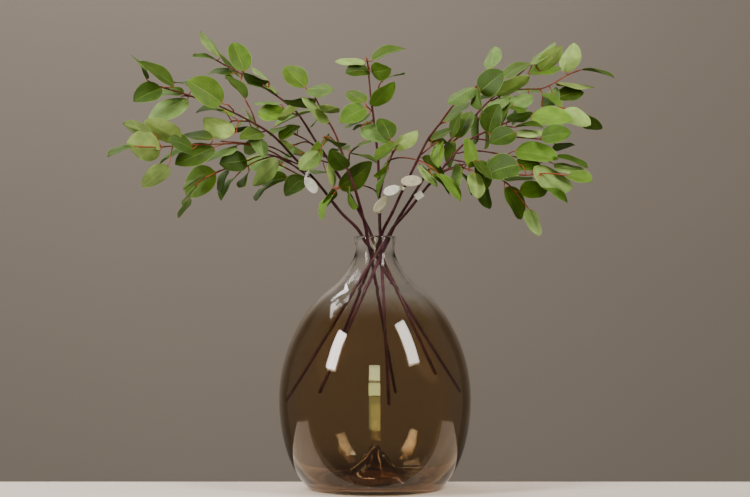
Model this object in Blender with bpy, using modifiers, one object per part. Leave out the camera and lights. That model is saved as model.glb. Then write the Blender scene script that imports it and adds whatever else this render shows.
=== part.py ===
"""Balloon vase of blown glass, holding seven artificial eucalyptus stems.

Metres, +Z up. The origin is on the vase's axis, on the surface it stands on.
Each stem is a wire-cored trunk with leafy sprigs, and some carry a blank paper tag.
Lengths below are in millimetres until a function turns them into metres.
"""

import math

import bmesh
import bpy
from mathutils import Quaternion, Vector
from mathutils.bvhtree import BVHTree

MM = 0.001
GAP = 0.4  # left between neighbouring solids

# Vase: knots of a smooth profile, as (radius, height, heading in degrees,
# handle length before the knot, handle length after it).
OUTER_WALL = [
    (33.2, 397.5, -100, 0, 9),
    (31.0, 378, -89, 9, 15),
    (73, 316, -34, 26, 38),
    (152, 142, -90, 86, 45),
    (118, 16, -129, 36, 23),
    (82, 0, 180, 20, 0),
]
UNDERSIDE = [
    (62, 0, 180, 0, 14),
    (24, 28, 128, 20, 13),
    (0, 61, 180, 5, 0),
]
INNER_WALL = [
    (28.2, 397.5, -90, 0, 12),
    (28.4, 366, -90, 12, 14),
    (71, 311, -34, 22, 36),
    (147.8, 142, -90, 82, 45),
    (113, 24, -131, 36, 20),
    (82, 10, 180, 14, 0),
]
PUNT_TOP = [
    (82, 10, 180, 0, 16),
    (27, 36, 128, 24, 15),
    (0, 69, 180, 6, 0),
]
WALL_STEPS = 4
PUNT_STEPS = 3
LATHE_STEPS = 36

# Stems: the straight run goes from the foot, through the waist of the bunch, to the bend.
WAIST_HEIGHT = 365
BEND_HEIGHT = 410
TRUNK_RADIUS = 2.5
TRUNK_TIP_RADIUS = 1.2
TWIG_RADIUS = 1.2
TWIG_TIP_RADIUS = 1.0
PETIOLE_RADIUS = 0.45

# The foliage is set out on a front drawing in perspective: (across, up) on the plane
# through the vase's axis, as seen from EYE_DISTANCE in front at EYE_HEIGHT.
EYE_DISTANCE = 3300
EYE_HEIGHT = 380

# Foot (x, y, z), waist (x, y), then the bent run as (across, up, depth).
STEMS = {
    1: (
        (138, 30, 151), (2, 16),
        [(-52, 435, 10), (-74, 463, 3), (-98, 492, -8), (-131, 527, -30), (-154, 552, -46), (-172, 567, -56),
         (-200, 583, -68), (-240, 603, -84), (-290, 621, -98), (-325, 632, -106)],
    ),
    2: (
        (34, 138, 143), (-6, 0),
        [(-30, 469, -54), (-45, 509, -60), (-55, 541, -64), (-66, 567, -67), (-88, 606, -72)],
    ),
    3: (
        (92, -102, 187), (11, 3),
        [(-47, 478, 60), (-72, 518, 70), (-91, 545, 78), (-122, 593, 90), (-156, 622, 100),
         (-207, 654, 118), (-244, 674, 130)],
    ),
    4: (
        (21, -140, 143), (10, -6),
        [(6, 490, 52), (4, 530, 58), (-2, 584, 60), (-7, 623, 58), (-11, 668, 55)],
    ),
    5: (
        (-84, 113, 159), (-4, 10),
        [(27, 436, -30), (42, 468, -42), (65, 515, -62), (84, 553, -78), (105, 581, -92), (126, 608, -104),
         (150, 618, -112)],
    ),
    6: (
        (-84, -113, 159), (8, -14),
        [(45, 440, 18), (76, 489, 38), (113, 545, 58), (150, 582, 72), (183, 616, 84), (213, 643, 96),
         (247, 672, 108)],
    ),
    7: (
        (-139, -33, 140), (-1, -16),
        [(50, 437, -13), (72, 465, -8), (91, 488, -2), (112, 513, 6), (136, 541, 14), (157, 556, 20),
         (205, 578, 36), (235, 588, 46)],
    ),
}

# Sprigs by stem: the twig's course (across, up), how far back it reaches, and its leaves
# as (base across, base up, tip across, tip up, width as seen from the front).
SPRIGS = {
    1: [
        ([(-98, 492), (-141, 520), (-175, 538), (-215, 546), (-260, 545), (-300, 544), (-338, 541),
          (-376, 541)],
         -150,
         [(-257, 552, -304, 557, 15), (-289, 538, -322, 550, 24), (-255, 540, -309, 514, 34),
          (-308, 552, -358, 579, 30), (-350, 562, -397, 577, 17), (-340, 536, -391, 547, 42),
          (-383, 541, -417, 525, 12), (-328, 512, -367, 481, 24), (-305, 533, -340, 515, 8)]),
        ([(-131, 527), (-165, 541), (-210, 547), (-245, 550)],
         -40,
         [(-219, 543, -277, 518, 15), (-190, 555, -201, 532, 24), (-187, 560, -176, 527, 22)]),
        ([(-112, 507), (-165, 528), (-205, 518), (-240, 505), (-270, 491), (-287, 479)],
         -70,
         [(-252, 501, -297, 469, 42), (-268, 493, -298, 474, 4), (-284, 476, -298, 451, 8),
          (-296, 457, -311, 433, 6), (-203, 520, -241, 514, 32)]),
        ([(-90, 484), (-148, 511), (-168, 516)],
         20,
         [(-167, 507, -202, 521, 28), (-154, 520, -189, 483, 24), (-150, 513, -132, 538, 11)]),
        ([(-94, 489), (-115, 492), (-139, 493), (-153, 488)],
         28,
         [(-110, 493, -139, 466, 28), (-139, 491, -176, 480, 19), (-164, 479, -185, 457, 9)]),
        ([(-122, 517), (-160, 526), (-200, 512), (-222, 493)],
         -20,
         [(-233, 506, -241, 470, 15), (-222, 492, -240, 458, 13), (-200, 501, -204, 479, 15)]),
        ([(-172, 567), (-187, 564), (-198, 571)],
         26,
         [(-178, 563, -209, 553, 22), (-204, 585, -226, 571, 8), (-187, 571, -207, 600, 4),
          (-198, 573, -250, 572, 5)]),
        ([(-205, 586), (-226, 582), (-232, 575)],
         16,
         [(-224, 562, -269, 585, 30), (-240, 598, -278, 594, 9), (-225, 588, -263, 601, 7)]),
        ([(-185, 575), (-196, 598), (-206, 616)],
         36,
         [(-206, 617, -236, 652, 15)]),
        ([(-230, 598), (-230, 605), (-234, 609)],
         -10,
         [(-242, 610, -291, 641, 40)]),
        ([(-290, 621), (-300, 622), (-308, 621)],
         26,
         [(-297, 617, -352, 583, 32), (-303, 625, -343, 628, 16), (-289, 634, -318, 644, 10)]),
        ([(-325, 632), (-345, 638), (-362, 647)],
         -14,
         [(-362, 648, -386, 685, 4), (-318, 637, -367, 670, 18), (-338, 634, -377, 614, 32)]),
    ],
    2: [
        ([(-56, 544), (-70, 556), (-80, 557)],
         10,
         [(-82, 556, -48, 546, 5), (-72, 553, -86, 538, 8), (-88, 534, -116, 507, 27)]),
        ([(-70, 575), (-78, 582), (-86, 588)],
         -8,
         [(-72, 581, -111, 614, 17), (-84, 588, -98, 578, 9), (-82, 596, -61, 600, 15)]),
        ([(-88, 606), (-97, 622), (-108, 633)],
         -6,
         [(-110, 635, -142, 666, 31), (-109, 632, -68, 629, 21), (-94, 616, -140, 616, 12)]),
        ([(-47, 512), (-41, 524), (-38, 533), (-16, 552)],
         24,
         [(-38, 532, -9, 547, 4), (-37, 530, 0, 515, 5), (-42, 536, -70, 532, 4),
          (-45, 507, -68, 533, 26)]),
    ],
    3: [
        ([(-76, 524), (-92, 537), (-109, 552), (-138, 566)],
         34,
         [(-122, 575, -147, 553, 20), (-140, 573, -161, 558, 12), (-158, 573, -102, 597, 9)]),
        ([(-96, 552), (-112, 549), (-143, 537)],
         18,
         [(-153, 548, -112, 528, 12), (-148, 512, -160, 496, 12)]),
        ([(-70, 514), (-90, 521), (-121, 533)],
         -10,
         [(-106, 511, -91, 546, 19), (-78, 500, -103, 504, 5)]),
        ([(-126, 597), (-140, 596), (-146, 603)],
         -30,
         [(-142, 592, -183, 596, 28), (-124, 600, -150, 587, 14), (-150, 609, -190, 611, 7)]),
        ([(-160, 625), (-168, 634), (-178, 640)],
         -22,
         [(-157, 624, -198, 638, 4), (-154, 625, -178, 646, 7), (-170, 646, -195, 668, 6),
          (-168, 644, -205, 657, 13)]),
        ([(-207, 654), (-214, 664), (-222, 667)],
         20,
         [(-207, 660, -225, 704, 33), (-212, 650, -246, 690, 5), (-225, 656, -262, 658, 13),
          (-214, 643, -226, 652, 6)]),
        ([(-244, 674), (-254, 680), (-262, 686)],
         12,
         [(-246, 683, -275, 723, 13), (-252, 679, -283, 681, 10)]),
    ],
    4: [
        ([(7, 470), (16, 499), (24, 520), (30, 536)],
         -26,
         [(24, 553, 8, 584, 28), (33, 536, 64, 565, 23), (36, 548, 3, 519, 18),
          (22, 523, 0, 496, 7), (21, 504, 6, 463, 7)]),
        ([(6, 492), (17, 514), (33, 523), (54, 523), (76, 517), (95, 505)],
         -124,
         [(74, 524, 107, 492, 16), (100, 499, 131, 457, 16), (71, 513, 97, 479, 14),
          (90, 497, 117, 467, 10)]),
        ([(9, 458), (-3, 474), (-25, 481), (-48, 478), (-64, 475)],
         -96,
         [(-58, 478, -9, 514, 30), (-42, 476, -29, 446, 9), (-67, 479, -69, 517, 12),
          (-68, 475, -84, 446, 12), (-66, 465, -82, 429, 12)]),
        ([(-6, 604), (2, 614), (7, 640), (16, 648)],
         -24,
         [(-6, 606, 27, 640, 23), (16, 648, 43, 657, 4)]),
        ([(-4, 598), (-9, 602), (-15, 606)],
         -18,
         [(-16, 611, -42, 628, 22), (-15, 603, -52, 580, 30), (-8, 594, -43, 572, 12)]),
        ([(-2, 580), (-10, 577), (-13, 582)],
         -20,
         [(-22, 571, 20, 552, 27), (-5, 577, -31, 570, 4)]),
        ([(-11, 668), (-12, 676), (-14, 684)],
         -10,
         [(-4, 677, 44, 697, 18), (-16, 677, -59, 675, 14), (-9, 660, -43, 656, 25),
          (-5, 659, 23, 661, 27)]),
    ],
    5: [
        ([(74, 533), (88, 541), (100, 550)],
         30,
         [(105, 551, 101, 511, 18), (90, 551, 122, 568, 13)]),
        ([(98, 572), (106, 579), (113, 580)],
         20,
         [(112, 579, 147, 610, 14)]),
        ([(130, 610), (139, 618), (150, 618)],
         10,
         [(152, 616, 170, 603, 13), (154, 617, 187, 622, 7)]),
        ([(150, 618), (157, 630), (166, 643), (182, 660)],
         -10,
         [(158, 636, 118, 611, 22), (166, 628, 199, 656, 36), (184, 665, 191, 699, 21), (162, 632, 167, 602, 14)]),
    ],
    6: [
        ([(108, 538), (120, 548), (132, 556)],
         -34,
         [(131, 554, 151, 595, 25), (127, 550, 119, 512, 17), (121, 553, 136, 591, 14), (112, 546, 92, 560, 16)]),
        ([(143, 576), (158, 576), (166, 588)],
         22,
         [(162, 591, 156, 547, 15), (171, 586, 173, 541, 4), (171, 596, 182, 559, 10), (174, 598, 214, 621, 22)]),
        ([(183, 616), (220, 631), (262, 633), (285, 643), (305, 655), (326, 663)],
         82,
         [(262, 629, 225, 632, 9), (268, 603, 287, 634, 23), (288, 618, 328, 628, 25),
          (288, 642, 345, 637, 5), (303, 659, 316, 703, 29), (328, 663, 373, 650, 7),
          (265, 626, 290, 604, 15), (241, 612, 220, 579, 15)]),
        ([(190, 622), (200, 614), (212, 612)],
         -30,
         [(218, 606, 249, 622, 24), (207, 618, 183, 602, 16), (214, 606, 236, 587, 15)]),
        ([(203, 634), (198, 641), (198, 650)],
         -22,
         [(203, 649, 243, 673, 19), (190, 622, 238, 649, 21)]),
        ([(247, 672), (252, 676), (262, 680)],
         14,
         [(244, 656, 292, 667, 20), (246, 671, 283, 706, 12), (262, 662, 292, 696, 26)]),
    ],
    7: [
        ([(128, 532), (157, 535), (190, 531), (223, 525), (255, 522), (279, 520)],
         -30,
         [(222, 534, 282, 521, 32), (284, 514, 328, 501, 17), (282, 526, 330, 508, 12),
          (215, 526, 184, 514, 14), (261, 515, 222, 509, 25)]),
        ([(97, 496), (120, 506), (140, 508), (151, 502)],
         -60,
         [(158, 501, 161, 462, 26), (150, 508, 147, 553, 22), (155, 519, 178, 491, 14),
          (132, 514, 122, 474, 17), (138, 500, 150, 467, 12), (161, 519, 176, 478, 26)]),
        ([(104, 504), (150, 515), (190, 508), (228, 497), (248, 497), (276, 499), (301, 496)],
         -66,
         [(228, 513, 177, 496, 40), (250, 504, 310, 480, 34), (305, 496, 338, 485, 21),
          (250, 490, 206, 491, 6), (264, 478, 300, 454, 13)]),
        ([(120, 522), (160, 512), (195, 492), (213, 480), (228, 462), (243, 444)],
         -24,
         [(205, 476, 231, 431, 28), (229, 470, 270, 472, 27),
          (243, 443, 258, 404, 22), (172, 487, 182, 447, 20)]),
        ([(160, 558), (183, 552), (222, 556), (262, 553), (280, 548)],
         -36,
         [(222, 564, 184, 547, 30), (223, 560, 267, 566, 14), (263, 556, 305, 562, 29),
          (285, 546, 313, 545, 10)]),
        ([(196, 575), (208, 573), (222, 572)],
         -26,
         [(180, 562, 194, 604, 33), (202, 578, 213, 609, 13), (222, 572, 262, 570, 8),
          (210, 582, 243, 594, 15)]),
        ([(235, 588), (250, 594), (268, 603), (296, 603), (322, 595)],
         30,
         [(246, 588, 305, 582, 31), (268, 596, 303, 590, 9), (297, 599, 336, 577, 28),
          (327, 593, 358, 572, 19)]),
    ],
}
MIN_LEAF_LENGTH = 46
LEAF_WIDTH_RATIO = 0.7
LEAF_FULLNESS = 1.1  # leaf sizes over those in the rows
LEAF_THICKNESS = 1.0
LEAF_CAMBER = 2.5
LEAF_STATIONS = (0, 0.22, 0.62, 1)  # along the blade
TRUNK_STEPS = 3  # points on the curve for each one given
TWIG_STEPS = 2
TURN_COST = 10  # millimetres of petiole that a turn at a right angle is worth
CLEARANCE = 1.2  # kept round each leaf and twig while they are placed
HANGING_LEAF = 4  # every fourth leaf of a sprig hangs down, and the others turn up to the light
# Tried in turn until the twig or the leaf is clear of what is already there.
BOWS = (0, 6, -6, 12, -12, 20, -20, 30, -30, 42, -42, 56, -56)
LEAF_SHIFTS = (-6, -1, -11, 4, -16, 9, -22, 15, -29, 22, -36, 30, -44, 40, -54, 50)

# Tags: stem, centre (across, up), how far in front of the stem, tilt in degrees, length, width.
TAGS = {
    "tag_1": (1, (-101, 480), 24, -52, 29, 17),
    "tag_4": (4, (9, 450), 14, 50, 32, 15),
    "tag_5": (5, (26, 472), 9, 18, 26, 15),
    "tag_5_upper": (5, (58, 487), 9, 2, 33, 17),
}
TAG_THICKNESS = 0.5
TAG_CORNERS = 14
LABEL_STEM = 7
LABEL = ((70, 464), 5, 35, 13, 11)  # a square one, without the name and stem

OBJECT_NAME = "balloon_vase"
MATERIALS = {  # colour, roughness, metallic, transmission
    "smoked_glass": ((0.36, 0.27, 0.18), 0.03, 0.0, 1.0),
    "bark": ((0.075, 0.022, 0.024), 0.5, 0.0, 0.0),
    "leaf": ((0.14, 0.25, 0.06), 0.55, 0.0, 0.0),
    "paper": ((0.78, 0.73, 0.66), 0.8, 0.0, 0.0),
}


def material(name):
    """The named material, made the first time it is asked for."""
    if name in bpy.data.materials:
        return bpy.data.materials[name]
    colour, roughness, metallic, transmission = MATERIALS[name]
    made = bpy.data.materials.new(name)
    made.use_nodes = True
    shader = made.node_tree.nodes["Principled BSDF"]
    shader.inputs["Base Color"].default_value = (*colour, 1)
    shader.inputs["Roughness"].default_value = roughness
    shader.inputs["Metallic"].default_value = metallic
    shader.inputs["Transmission Weight"].default_value = transmission
    return made


def collection(name):
    made = bpy.data.collections.new(name)
    bpy.context.scene.collection.children.link(made)
    return made


def add_object(name, data, finish, home):
    made = bpy.data.objects.new(name, data)
    data.materials.append(material(finish))
    home.objects.link(made)
    return made


def heading(degrees):
    turn = math.radians(degrees)
    return Vector((math.cos(turn), math.sin(turn)))


def smooth_profile(knots, steps):
    """Points (radius, height) of a Bezier chain through its knots."""
    points = [Vector(knots[0][:2])]
    for start, end in zip(knots, knots[1:]):
        a = Vector(start[:2])
        d = Vector(end[:2])
        b = a + heading(start[2]) * start[4]
        c = d - heading(end[2]) * end[3]
        for step in range(1, steps + 1):
            t = step / steps
            s = 1 - t
            points.append(a * s**3 + b * 3 * s * s * t + c * 3 * s * t * t + d * t**3)
    return points


def vase_profile():
    """From the top of the punt inside, over the rim, to the underside of the punt."""
    inside = smooth_profile(INNER_WALL, WALL_STEPS) + smooth_profile(PUNT_TOP, PUNT_STEPS)[1:]
    outside = smooth_profile(OUTER_WALL, WALL_STEPS) + smooth_profile(UNDERSIDE, PUNT_STEPS)
    middle = (inside[0] + outside[0]) / 2
    lip = (outside[0].x - inside[0].x) / 2
    rim = [middle + heading(turn) * lip for turn in (135, 90, 45)]
    return inside[::-1] + rim + outside


def build_vase(home):
    mesh = bpy.data.meshes.new("vase_glass")
    points = [(p.x * MM, 0, p.y * MM) for p in vase_profile()]
    mesh.from_pydata(points, [(i, i + 1) for i in range(len(points) - 1)], [])
    vase = add_object("vase_glass", mesh, "smoked_glass", home)
    lathe = vase.modifiers.new("lathe", "SCREW")
    lathe.steps = LATHE_STEPS
    lathe.render_steps = LATHE_STEPS
    lathe.use_merge_vertices = True
    lathe.merge_threshold = 0.00001
    lathe.use_smooth_shade = True


def drawn(across, up, depth):
    """The point behind (across, up) of the front drawing that lies at this depth."""
    scale = (EYE_DISTANCE + depth) / EYE_DISTANCE
    return Vector((across * scale, depth, EYE_HEIGHT + (up - EYE_HEIGHT) * scale))


def on_drawing(point):
    scale = EYE_DISTANCE / (EYE_DISTANCE + point.y)
    return Vector((point.x * scale, EYE_HEIGHT + (point.z - EYE_HEIGHT) * scale))


def flow(points, steps):
    """A smooth curve through the points, as a Catmull-Rom spline."""
    padded = [points[0] * 2 - points[1]] + points + [points[-1] * 2 - points[-2]]
    course = [points[0]]
    for a, b, c, d in zip(padded, padded[1:], padded[2:], padded[3:]):
        for step in range(1, steps + 1):
            t = step / steps
            pull = (c - a) * t + (a * 2 - b * 5 + c * 4 - d) * t**2 + (b * 3 - a - c * 3 + d) * t**3
            course.append(b + pull / 2)
    return course


def tapered(course, first, last):
    """Radii that fall evenly from the first to the last along the course."""
    return [first + (last - first) * i / (len(course) - 1) for i in range(len(course))]


class Limb:
    """A trunk or a twig: its centre line and its radius at each point."""

    def __init__(self, course, radii):
        self.course = course
        self.radii = radii

    def nearest(self, target):
        """Index of the point seen nearest to the target (across, up)."""
        seen = [(on_drawing(point) - Vector(target)).length for point in self.course]
        return seen.index(min(seen))

    def leaf_root(self, row):
        """Index of the point that a petiole best leaves from: close, and facing the tip."""
        base = Vector(row[:2])
        blade = (Vector(row[2:4]) - base).normalized()

        def cost(i):
            stalk = base - on_drawing(self.course[i])
            turn = (stalk.length - stalk.dot(blade)) / (stalk.length + 1)
            return stalk.length + TURN_COST * turn

        return min(range(1, len(self.course) - 1), key=cost)

    def tangent(self, i):
        ahead = self.course[min(i + 1, len(self.course) - 1)]
        behind = self.course[max(i - 1, 0)]
        return (ahead - behind).normalized()

    def solid(self, margin=0):
        """Corners and faces of a six-sided tube round the course, for clearance tests."""
        rings = []
        side = self.tangent(0).orthogonal()
        for i, (point, radius) in enumerate(zip(self.course, self.radii)):
            along = self.tangent(i)
            side = (side - along * side.dot(along)).normalized()
            up = along.cross(side)
            reach = radius + margin
            turns = [math.radians(60 * k) for k in range(6)]
            rings.append([point + (side * math.cos(a) + up * math.sin(a)) * reach for a in turns])
        return stack(rings)


def stack(rings):
    """Corners and faces of the closed skin over rings that all have as many corners."""
    count = len(rings[0])
    corners = [corner for ring in rings for corner in ring]
    faces = [tuple(range(count))[::-1], tuple(range(len(corners) - count, len(corners)))]
    for base in range(0, len(corners) - count, count):
        for k in range(count):
            n = (k + 1) % count
            faces.append((base + k, base + n, base + count + n, base + count + k))
    return corners, faces


def blade_width(s):
    """Half the leaf's width at s along the blade, as a share of its widest."""
    return 2.36 * s**0.55 * (1 - s) ** 0.7


class Leaf:
    """A leaf: petiole from the twig, then a blade that is widest below its middle."""

    def __init__(self, row, root, depth, pitch_sign, roll_sign):
        across, up, tip_across, tip_up, shown_width = row
        self.root = root
        self.base = drawn(across, up, depth)
        flat = drawn(tip_across, tip_up, depth) - self.base
        shown = flat.length * LEAF_FULLNESS
        shown_width *= LEAF_FULLNESS
        self.length = max(shown * 1.06, MIN_LEAF_LENGTH)
        pitch = math.acos(shown / self.length) * pitch_sign
        flat.normalize()
        back = Vector((0, 1, 0))
        self.along = flat * math.cos(pitch) + back * math.sin(pitch)
        self.width = max(self.length * LEAF_WIDTH_RATIO, shown_width * 1.08)
        roll = math.acos(shown_width / self.width) * roll_sign
        level = flat.cross(back).normalized()
        lift = level.cross(self.along).normalized()
        self.side = level * math.cos(roll) + lift * math.sin(roll)
        self.normal = self.along.cross(self.side)
        self.turn = self.along.rotation_difference(self.base - root)

    def facing_down(self):
        """How far the side that faces the front is turned down, away from the light."""
        return self.normal.z if self.normal.y > 0 else -self.normal.z

    def centre(self, s):
        camber = self.normal * (LEAF_CAMBER * 4 * s * (1 - s))
        return self.base + self.along * (self.length * s) + camber

    def blade(self, margin=0):
        """Rings of four corners: edge, underside, edge, upper side."""
        rings = []
        for s in LEAF_STATIONS:
            reach = max(self.width / 2 * blade_width(s), PETIOLE_RADIUS) + margin
            half = LEAF_THICKNESS / 2 + margin
            middle = self.centre(s) + self.along * (margin if s == 1 else 0)
            rings.append(ring(middle, self.side * reach, self.normal * half))
        half_turn = Quaternion().slerp(self.turn, 0.5)
        rings[0] = self.stalk_ring(self.base, half_turn, margin)
        return rings

    def petiole(self):
        """The ring inside the twig; the blade's first ring ends the petiole."""
        return self.stalk_ring(self.root, self.turn, 0)

    def stalk_ring(self, middle, turn, margin):
        reach = PETIOLE_RADIUS + margin
        return ring(middle, (turn @ self.side) * reach, (turn @ self.normal) * reach)


def ring(middle, side, top):
    return [middle - side, middle - top, middle + side, middle + top]


class Clearance:
    """What is already placed, and whether a new shape stays clear of it."""

    def __init__(self):
        self.placed = []

    def add(self, owner, shape):
        corners, faces = shape
        middle = sum(corners, Vector()) / len(corners)
        radius = max((corner - middle).length for corner in corners)
        tree = BVHTree.FromPolygons(corners, faces)
        self.placed.append((owner, middle, radius, tree))

    def free(self, shape, ignored=()):
        corners, faces = shape
        middle = sum(corners, Vector()) / len(corners)
        radius = max((corner - middle).length for corner in corners)
        tree = BVHTree.FromPolygons(corners, faces)
        for owner, other_middle, other_radius, other_tree in self.placed:
            near = (middle - other_middle).length < radius + other_radius
            if near and owner not in ignored and tree.overlap(other_tree):
                return False
        return True


def trunk_limb(foot, waist, run):
    """Straight from the foot through the waist to the bend, then along the drawn run."""
    start = Vector(foot)
    slope = (Vector((*waist, WAIST_HEIGHT)) - start) / (WAIST_HEIGHT - start.z)
    bend = start + slope * (BEND_HEIGHT - start.z)
    below = bend - slope * 30
    curve = flow([below, bend] + [drawn(*point) for point in run], TRUNK_STEPS)[TRUNK_STEPS:]
    return Limb([start] + curve, [TRUNK_RADIUS] + tapered(curve, TRUNK_RADIUS, TRUNK_TIP_RADIUS))


def twig_limb(trunk, course, reach, bow):
    """A twig from the trunk's side, or from its end, swung back by its reach and its bow."""
    start = trunk.nearest(course[0])
    root = trunk.course[start]
    drawn_lengths = [0]
    for a, b in zip(course, course[1:]):
        drawn_lengths.append(drawn_lengths[-1] + (Vector(b) - Vector(a)).length)
    points = [root]
    for (across, up), length in list(zip(course, drawn_lengths))[1:]:
        share = length / drawn_lengths[-1]
        depth = root.y + reach * share + bow * math.sin(math.pi * share / 2)
        points.append(drawn(across, up, depth))
    away = points[1] - root
    along = trunk.tangent(start)
    sideways = away - along * away.dot(along)
    if start == len(trunk.course) - 1:
        points[0] = root + away.normalized() * GAP * 2
    else:
        points[0] = root + sideways.normalized() * (trunk.radii[start] + TWIG_RADIUS + GAP)
    curve = flow(points, TWIG_STEPS)
    return Limb(curve, tapered(curve, TWIG_RADIUS, TWIG_TIP_RADIUS))


def place_twig(name, trunk_name, trunk, course, reach, clearance):
    for bow in BOWS:
        twig = twig_limb(trunk, course, reach, bow)
        on_its_trunk = clearance.free(twig.solid(GAP / 2))
        if on_its_trunk and clearance.free(twig.solid(CLEARANCE), ignored=[trunk_name]):
            clearance.add(name, twig.solid())
            return twig
    raise RuntimeError(f"no free course for {name}")


def place_leaf(name, row, order, twig, clearance):
    """The first free leaf over a range of depths and of the ways that it can tilt."""
    root = twig.leaf_root(row)
    tilts = [(1, 1), (-1, 1), (1, -1), (-1, -1)]
    for shift in LEAF_SHIFTS:
        depth = twig.course[root].y + shift
        made = [Leaf(row, twig.course[root], depth, *tilt) for tilt in tilts]
        made.sort(key=Leaf.facing_down, reverse=order % HANGING_LEAF == HANGING_LEAF - 1)
        for leaf in made:
            stalk = stack([leaf.petiole()] + leaf.blade()[:2])
            blade = stack(leaf.blade(CLEARANCE)[1:])
            if clearance.free(stalk, ignored=[name]) and clearance.free(blade):
                clearance.add(name, stack([leaf.petiole()] + leaf.blade()))
                return leaf
    raise RuntimeError(f"no free place for leaf {order} of {name}")


def grow():
    """Trunks, twigs and leaves of all the stems, placed clear of each other."""
    clearance = Clearance()
    trunks = {}
    for stem, (foot, waist, run) in STEMS.items():
        trunks[stem] = trunk_limb(foot, waist, run)
        clearance.add(f"stem_{stem}", trunks[stem].solid())
    twigs = {}
    for stem, sprigs in SPRIGS.items():
        for number, (course, reach, _) in enumerate(sprigs, 1):
            name = f"sprig_{stem}_{number}"
            twigs[name] = place_twig(
                name, f"stem_{stem}", trunks[stem], course, reach, clearance
            )
    leaves = {}
    for stem, sprigs in SPRIGS.items():
        for number, (_, _, rows) in enumerate(sprigs, 1):
            name = f"sprig_{stem}_{number}"
            leaves[name] = [
                place_leaf(name, row, order, twigs[name], clearance)
                for order, row in enumerate(rows)
            ]
    return trunks, twigs, leaves


def tube(name, limb, resolution, finish, home):
    """A curve object along the limb, with closed ends."""
    curve = bpy.data.curves.new(name, "CURVE")
    curve.dimensions = "3D"
    curve.bevel_depth = MM
    curve.bevel_resolution = resolution
    curve.use_fill_caps = True
    spline = curve.splines.new("POLY")
    spline.points.add(len(limb.course) - 1)
    for target, point, radius in zip(spline.points, limb.course, limb.radii):
        target.co = (*(point * MM), 1)
        target.radius = radius
    spline.use_smooth = True
    return add_object(name, curve, finish, home)


def as_mesh(source, home):
    """The curve object's solid as a mesh object of the same name, with its caps welded."""
    depsgraph = bpy.context.evaluated_depsgraph_get()
    mesh = bpy.data.meshes.new_from_object(source.evaluated_get(depsgraph))
    work = bmesh.new()
    work.from_mesh(mesh)
    bmesh.ops.remove_doubles(work, verts=work.verts, dist=0.00001)
    work.to_mesh(mesh)
    work.free()
    name = source.name
    place = source.matrix_world.copy()
    bpy.data.objects.remove(source)
    made = bpy.data.objects.new(name, mesh)
    made.matrix_world = place
    home.objects.link(made)
    return made


def leaf_object(name, leaf, home):
    corners, faces = stack([leaf.petiole()] + leaf.blade())
    mesh = bpy.data.meshes.new(name)
    mesh.from_pydata([corner * MM for corner in corners], [], faces)
    work = bmesh.new()
    work.from_mesh(mesh)
    bmesh.ops.recalc_face_normals(work, faces=work.faces)
    bmesh.ops.triangulate(work, faces=work.faces)
    work.to_mesh(mesh)
    work.free()
    made = add_object(name, mesh, "leaf", home)
    made.hide_render = True
    made.display_type = "WIRE"
    return made


def build_sprig(name, twig, leaves, home, cutters):
    """The twig, with each of its leaves joined on."""
    sprig = as_mesh(tube(name, twig, 0, "leaf", home), home)
    for number, leaf in enumerate(leaves, 1):
        join = sprig.modifiers.new(f"leaf_{number}", "BOOLEAN")
        join.operation = "UNION"
        join.solver = "EXACT"
        join.object = leaf_object(f"{name}_leaf_{number}", leaf, cutters)


def build_plate(name, trunk, place, outline, home):
    """A paper plate just in front of its trunk, facing the front."""
    centre, front, tilt, length, width = place
    near = trunk.nearest(centre)
    depth = trunk.course[near].y - front
    plate = bpy.data.curves.new(name, "CURVE")
    plate.dimensions = "2D"
    plate.fill_mode = "BOTH"
    plate.extrude = TAG_THICKNESS / 2 * MM
    spline = plate.splines.new("POLY")
    corners = outline(length, width)
    spline.points.add(len(corners) - 1)
    for target, corner in zip(spline.points, corners):
        target.co = (*(corner * MM), 0, 1)
    spline.use_cyclic_u = True
    made = add_object(name, plate, "paper", home)
    made.location = drawn(*centre, depth) * MM
    made.rotation_euler = (math.radians(90), 0, 0)
    made.rotation_euler.rotate_axis("Z", math.radians(tilt))


def oval(length, width):
    turns = [2 * math.pi * k / TAG_CORNERS for k in range(TAG_CORNERS)]
    return [Vector((math.cos(a) * length / 2, math.sin(a) * width / 2)) for a in turns]


def rectangle(length, width):
    corners = ((-1, -1), (1, -1), (1, 1), (-1, 1))
    return [Vector((x * length / 2, y * width / 2)) for x, y in corners]


def main():
    for old in list(bpy.data.objects):
        bpy.data.objects.remove(old)
    home = collection(OBJECT_NAME)
    cutters = collection("cutters")
    build_vase(home)
    trunks, twigs, leaves = grow()
    for stem, trunk in trunks.items():
        tube(f"stem_{stem}", trunk, 1, "bark", home)
    for name, twig in twigs.items():
        build_sprig(name, twig, leaves[name], home, cutters)
    for name, (stem, *place) in TAGS.items():
        build_plate(name, trunks[stem], place, oval, home)
    build_plate(f"label_{LABEL_STEM}", trunks[LABEL_STEM], LABEL, rectangle, home)


main()
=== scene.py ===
"""Looks of the balloon vase and its artificial eucalyptus stems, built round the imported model.

Metres, +Z up, in the model's frame. The stems grow by the same rules and from the same
courses as the model's, so each detailed leaf stands where its plain solid does.
Lengths below are in millimetres until a function turns them into metres.
"""

import math
import random

import bmesh
import bpy
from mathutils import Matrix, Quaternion, Vector, noise
from mathutils.bvhtree import BVHTree


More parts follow.
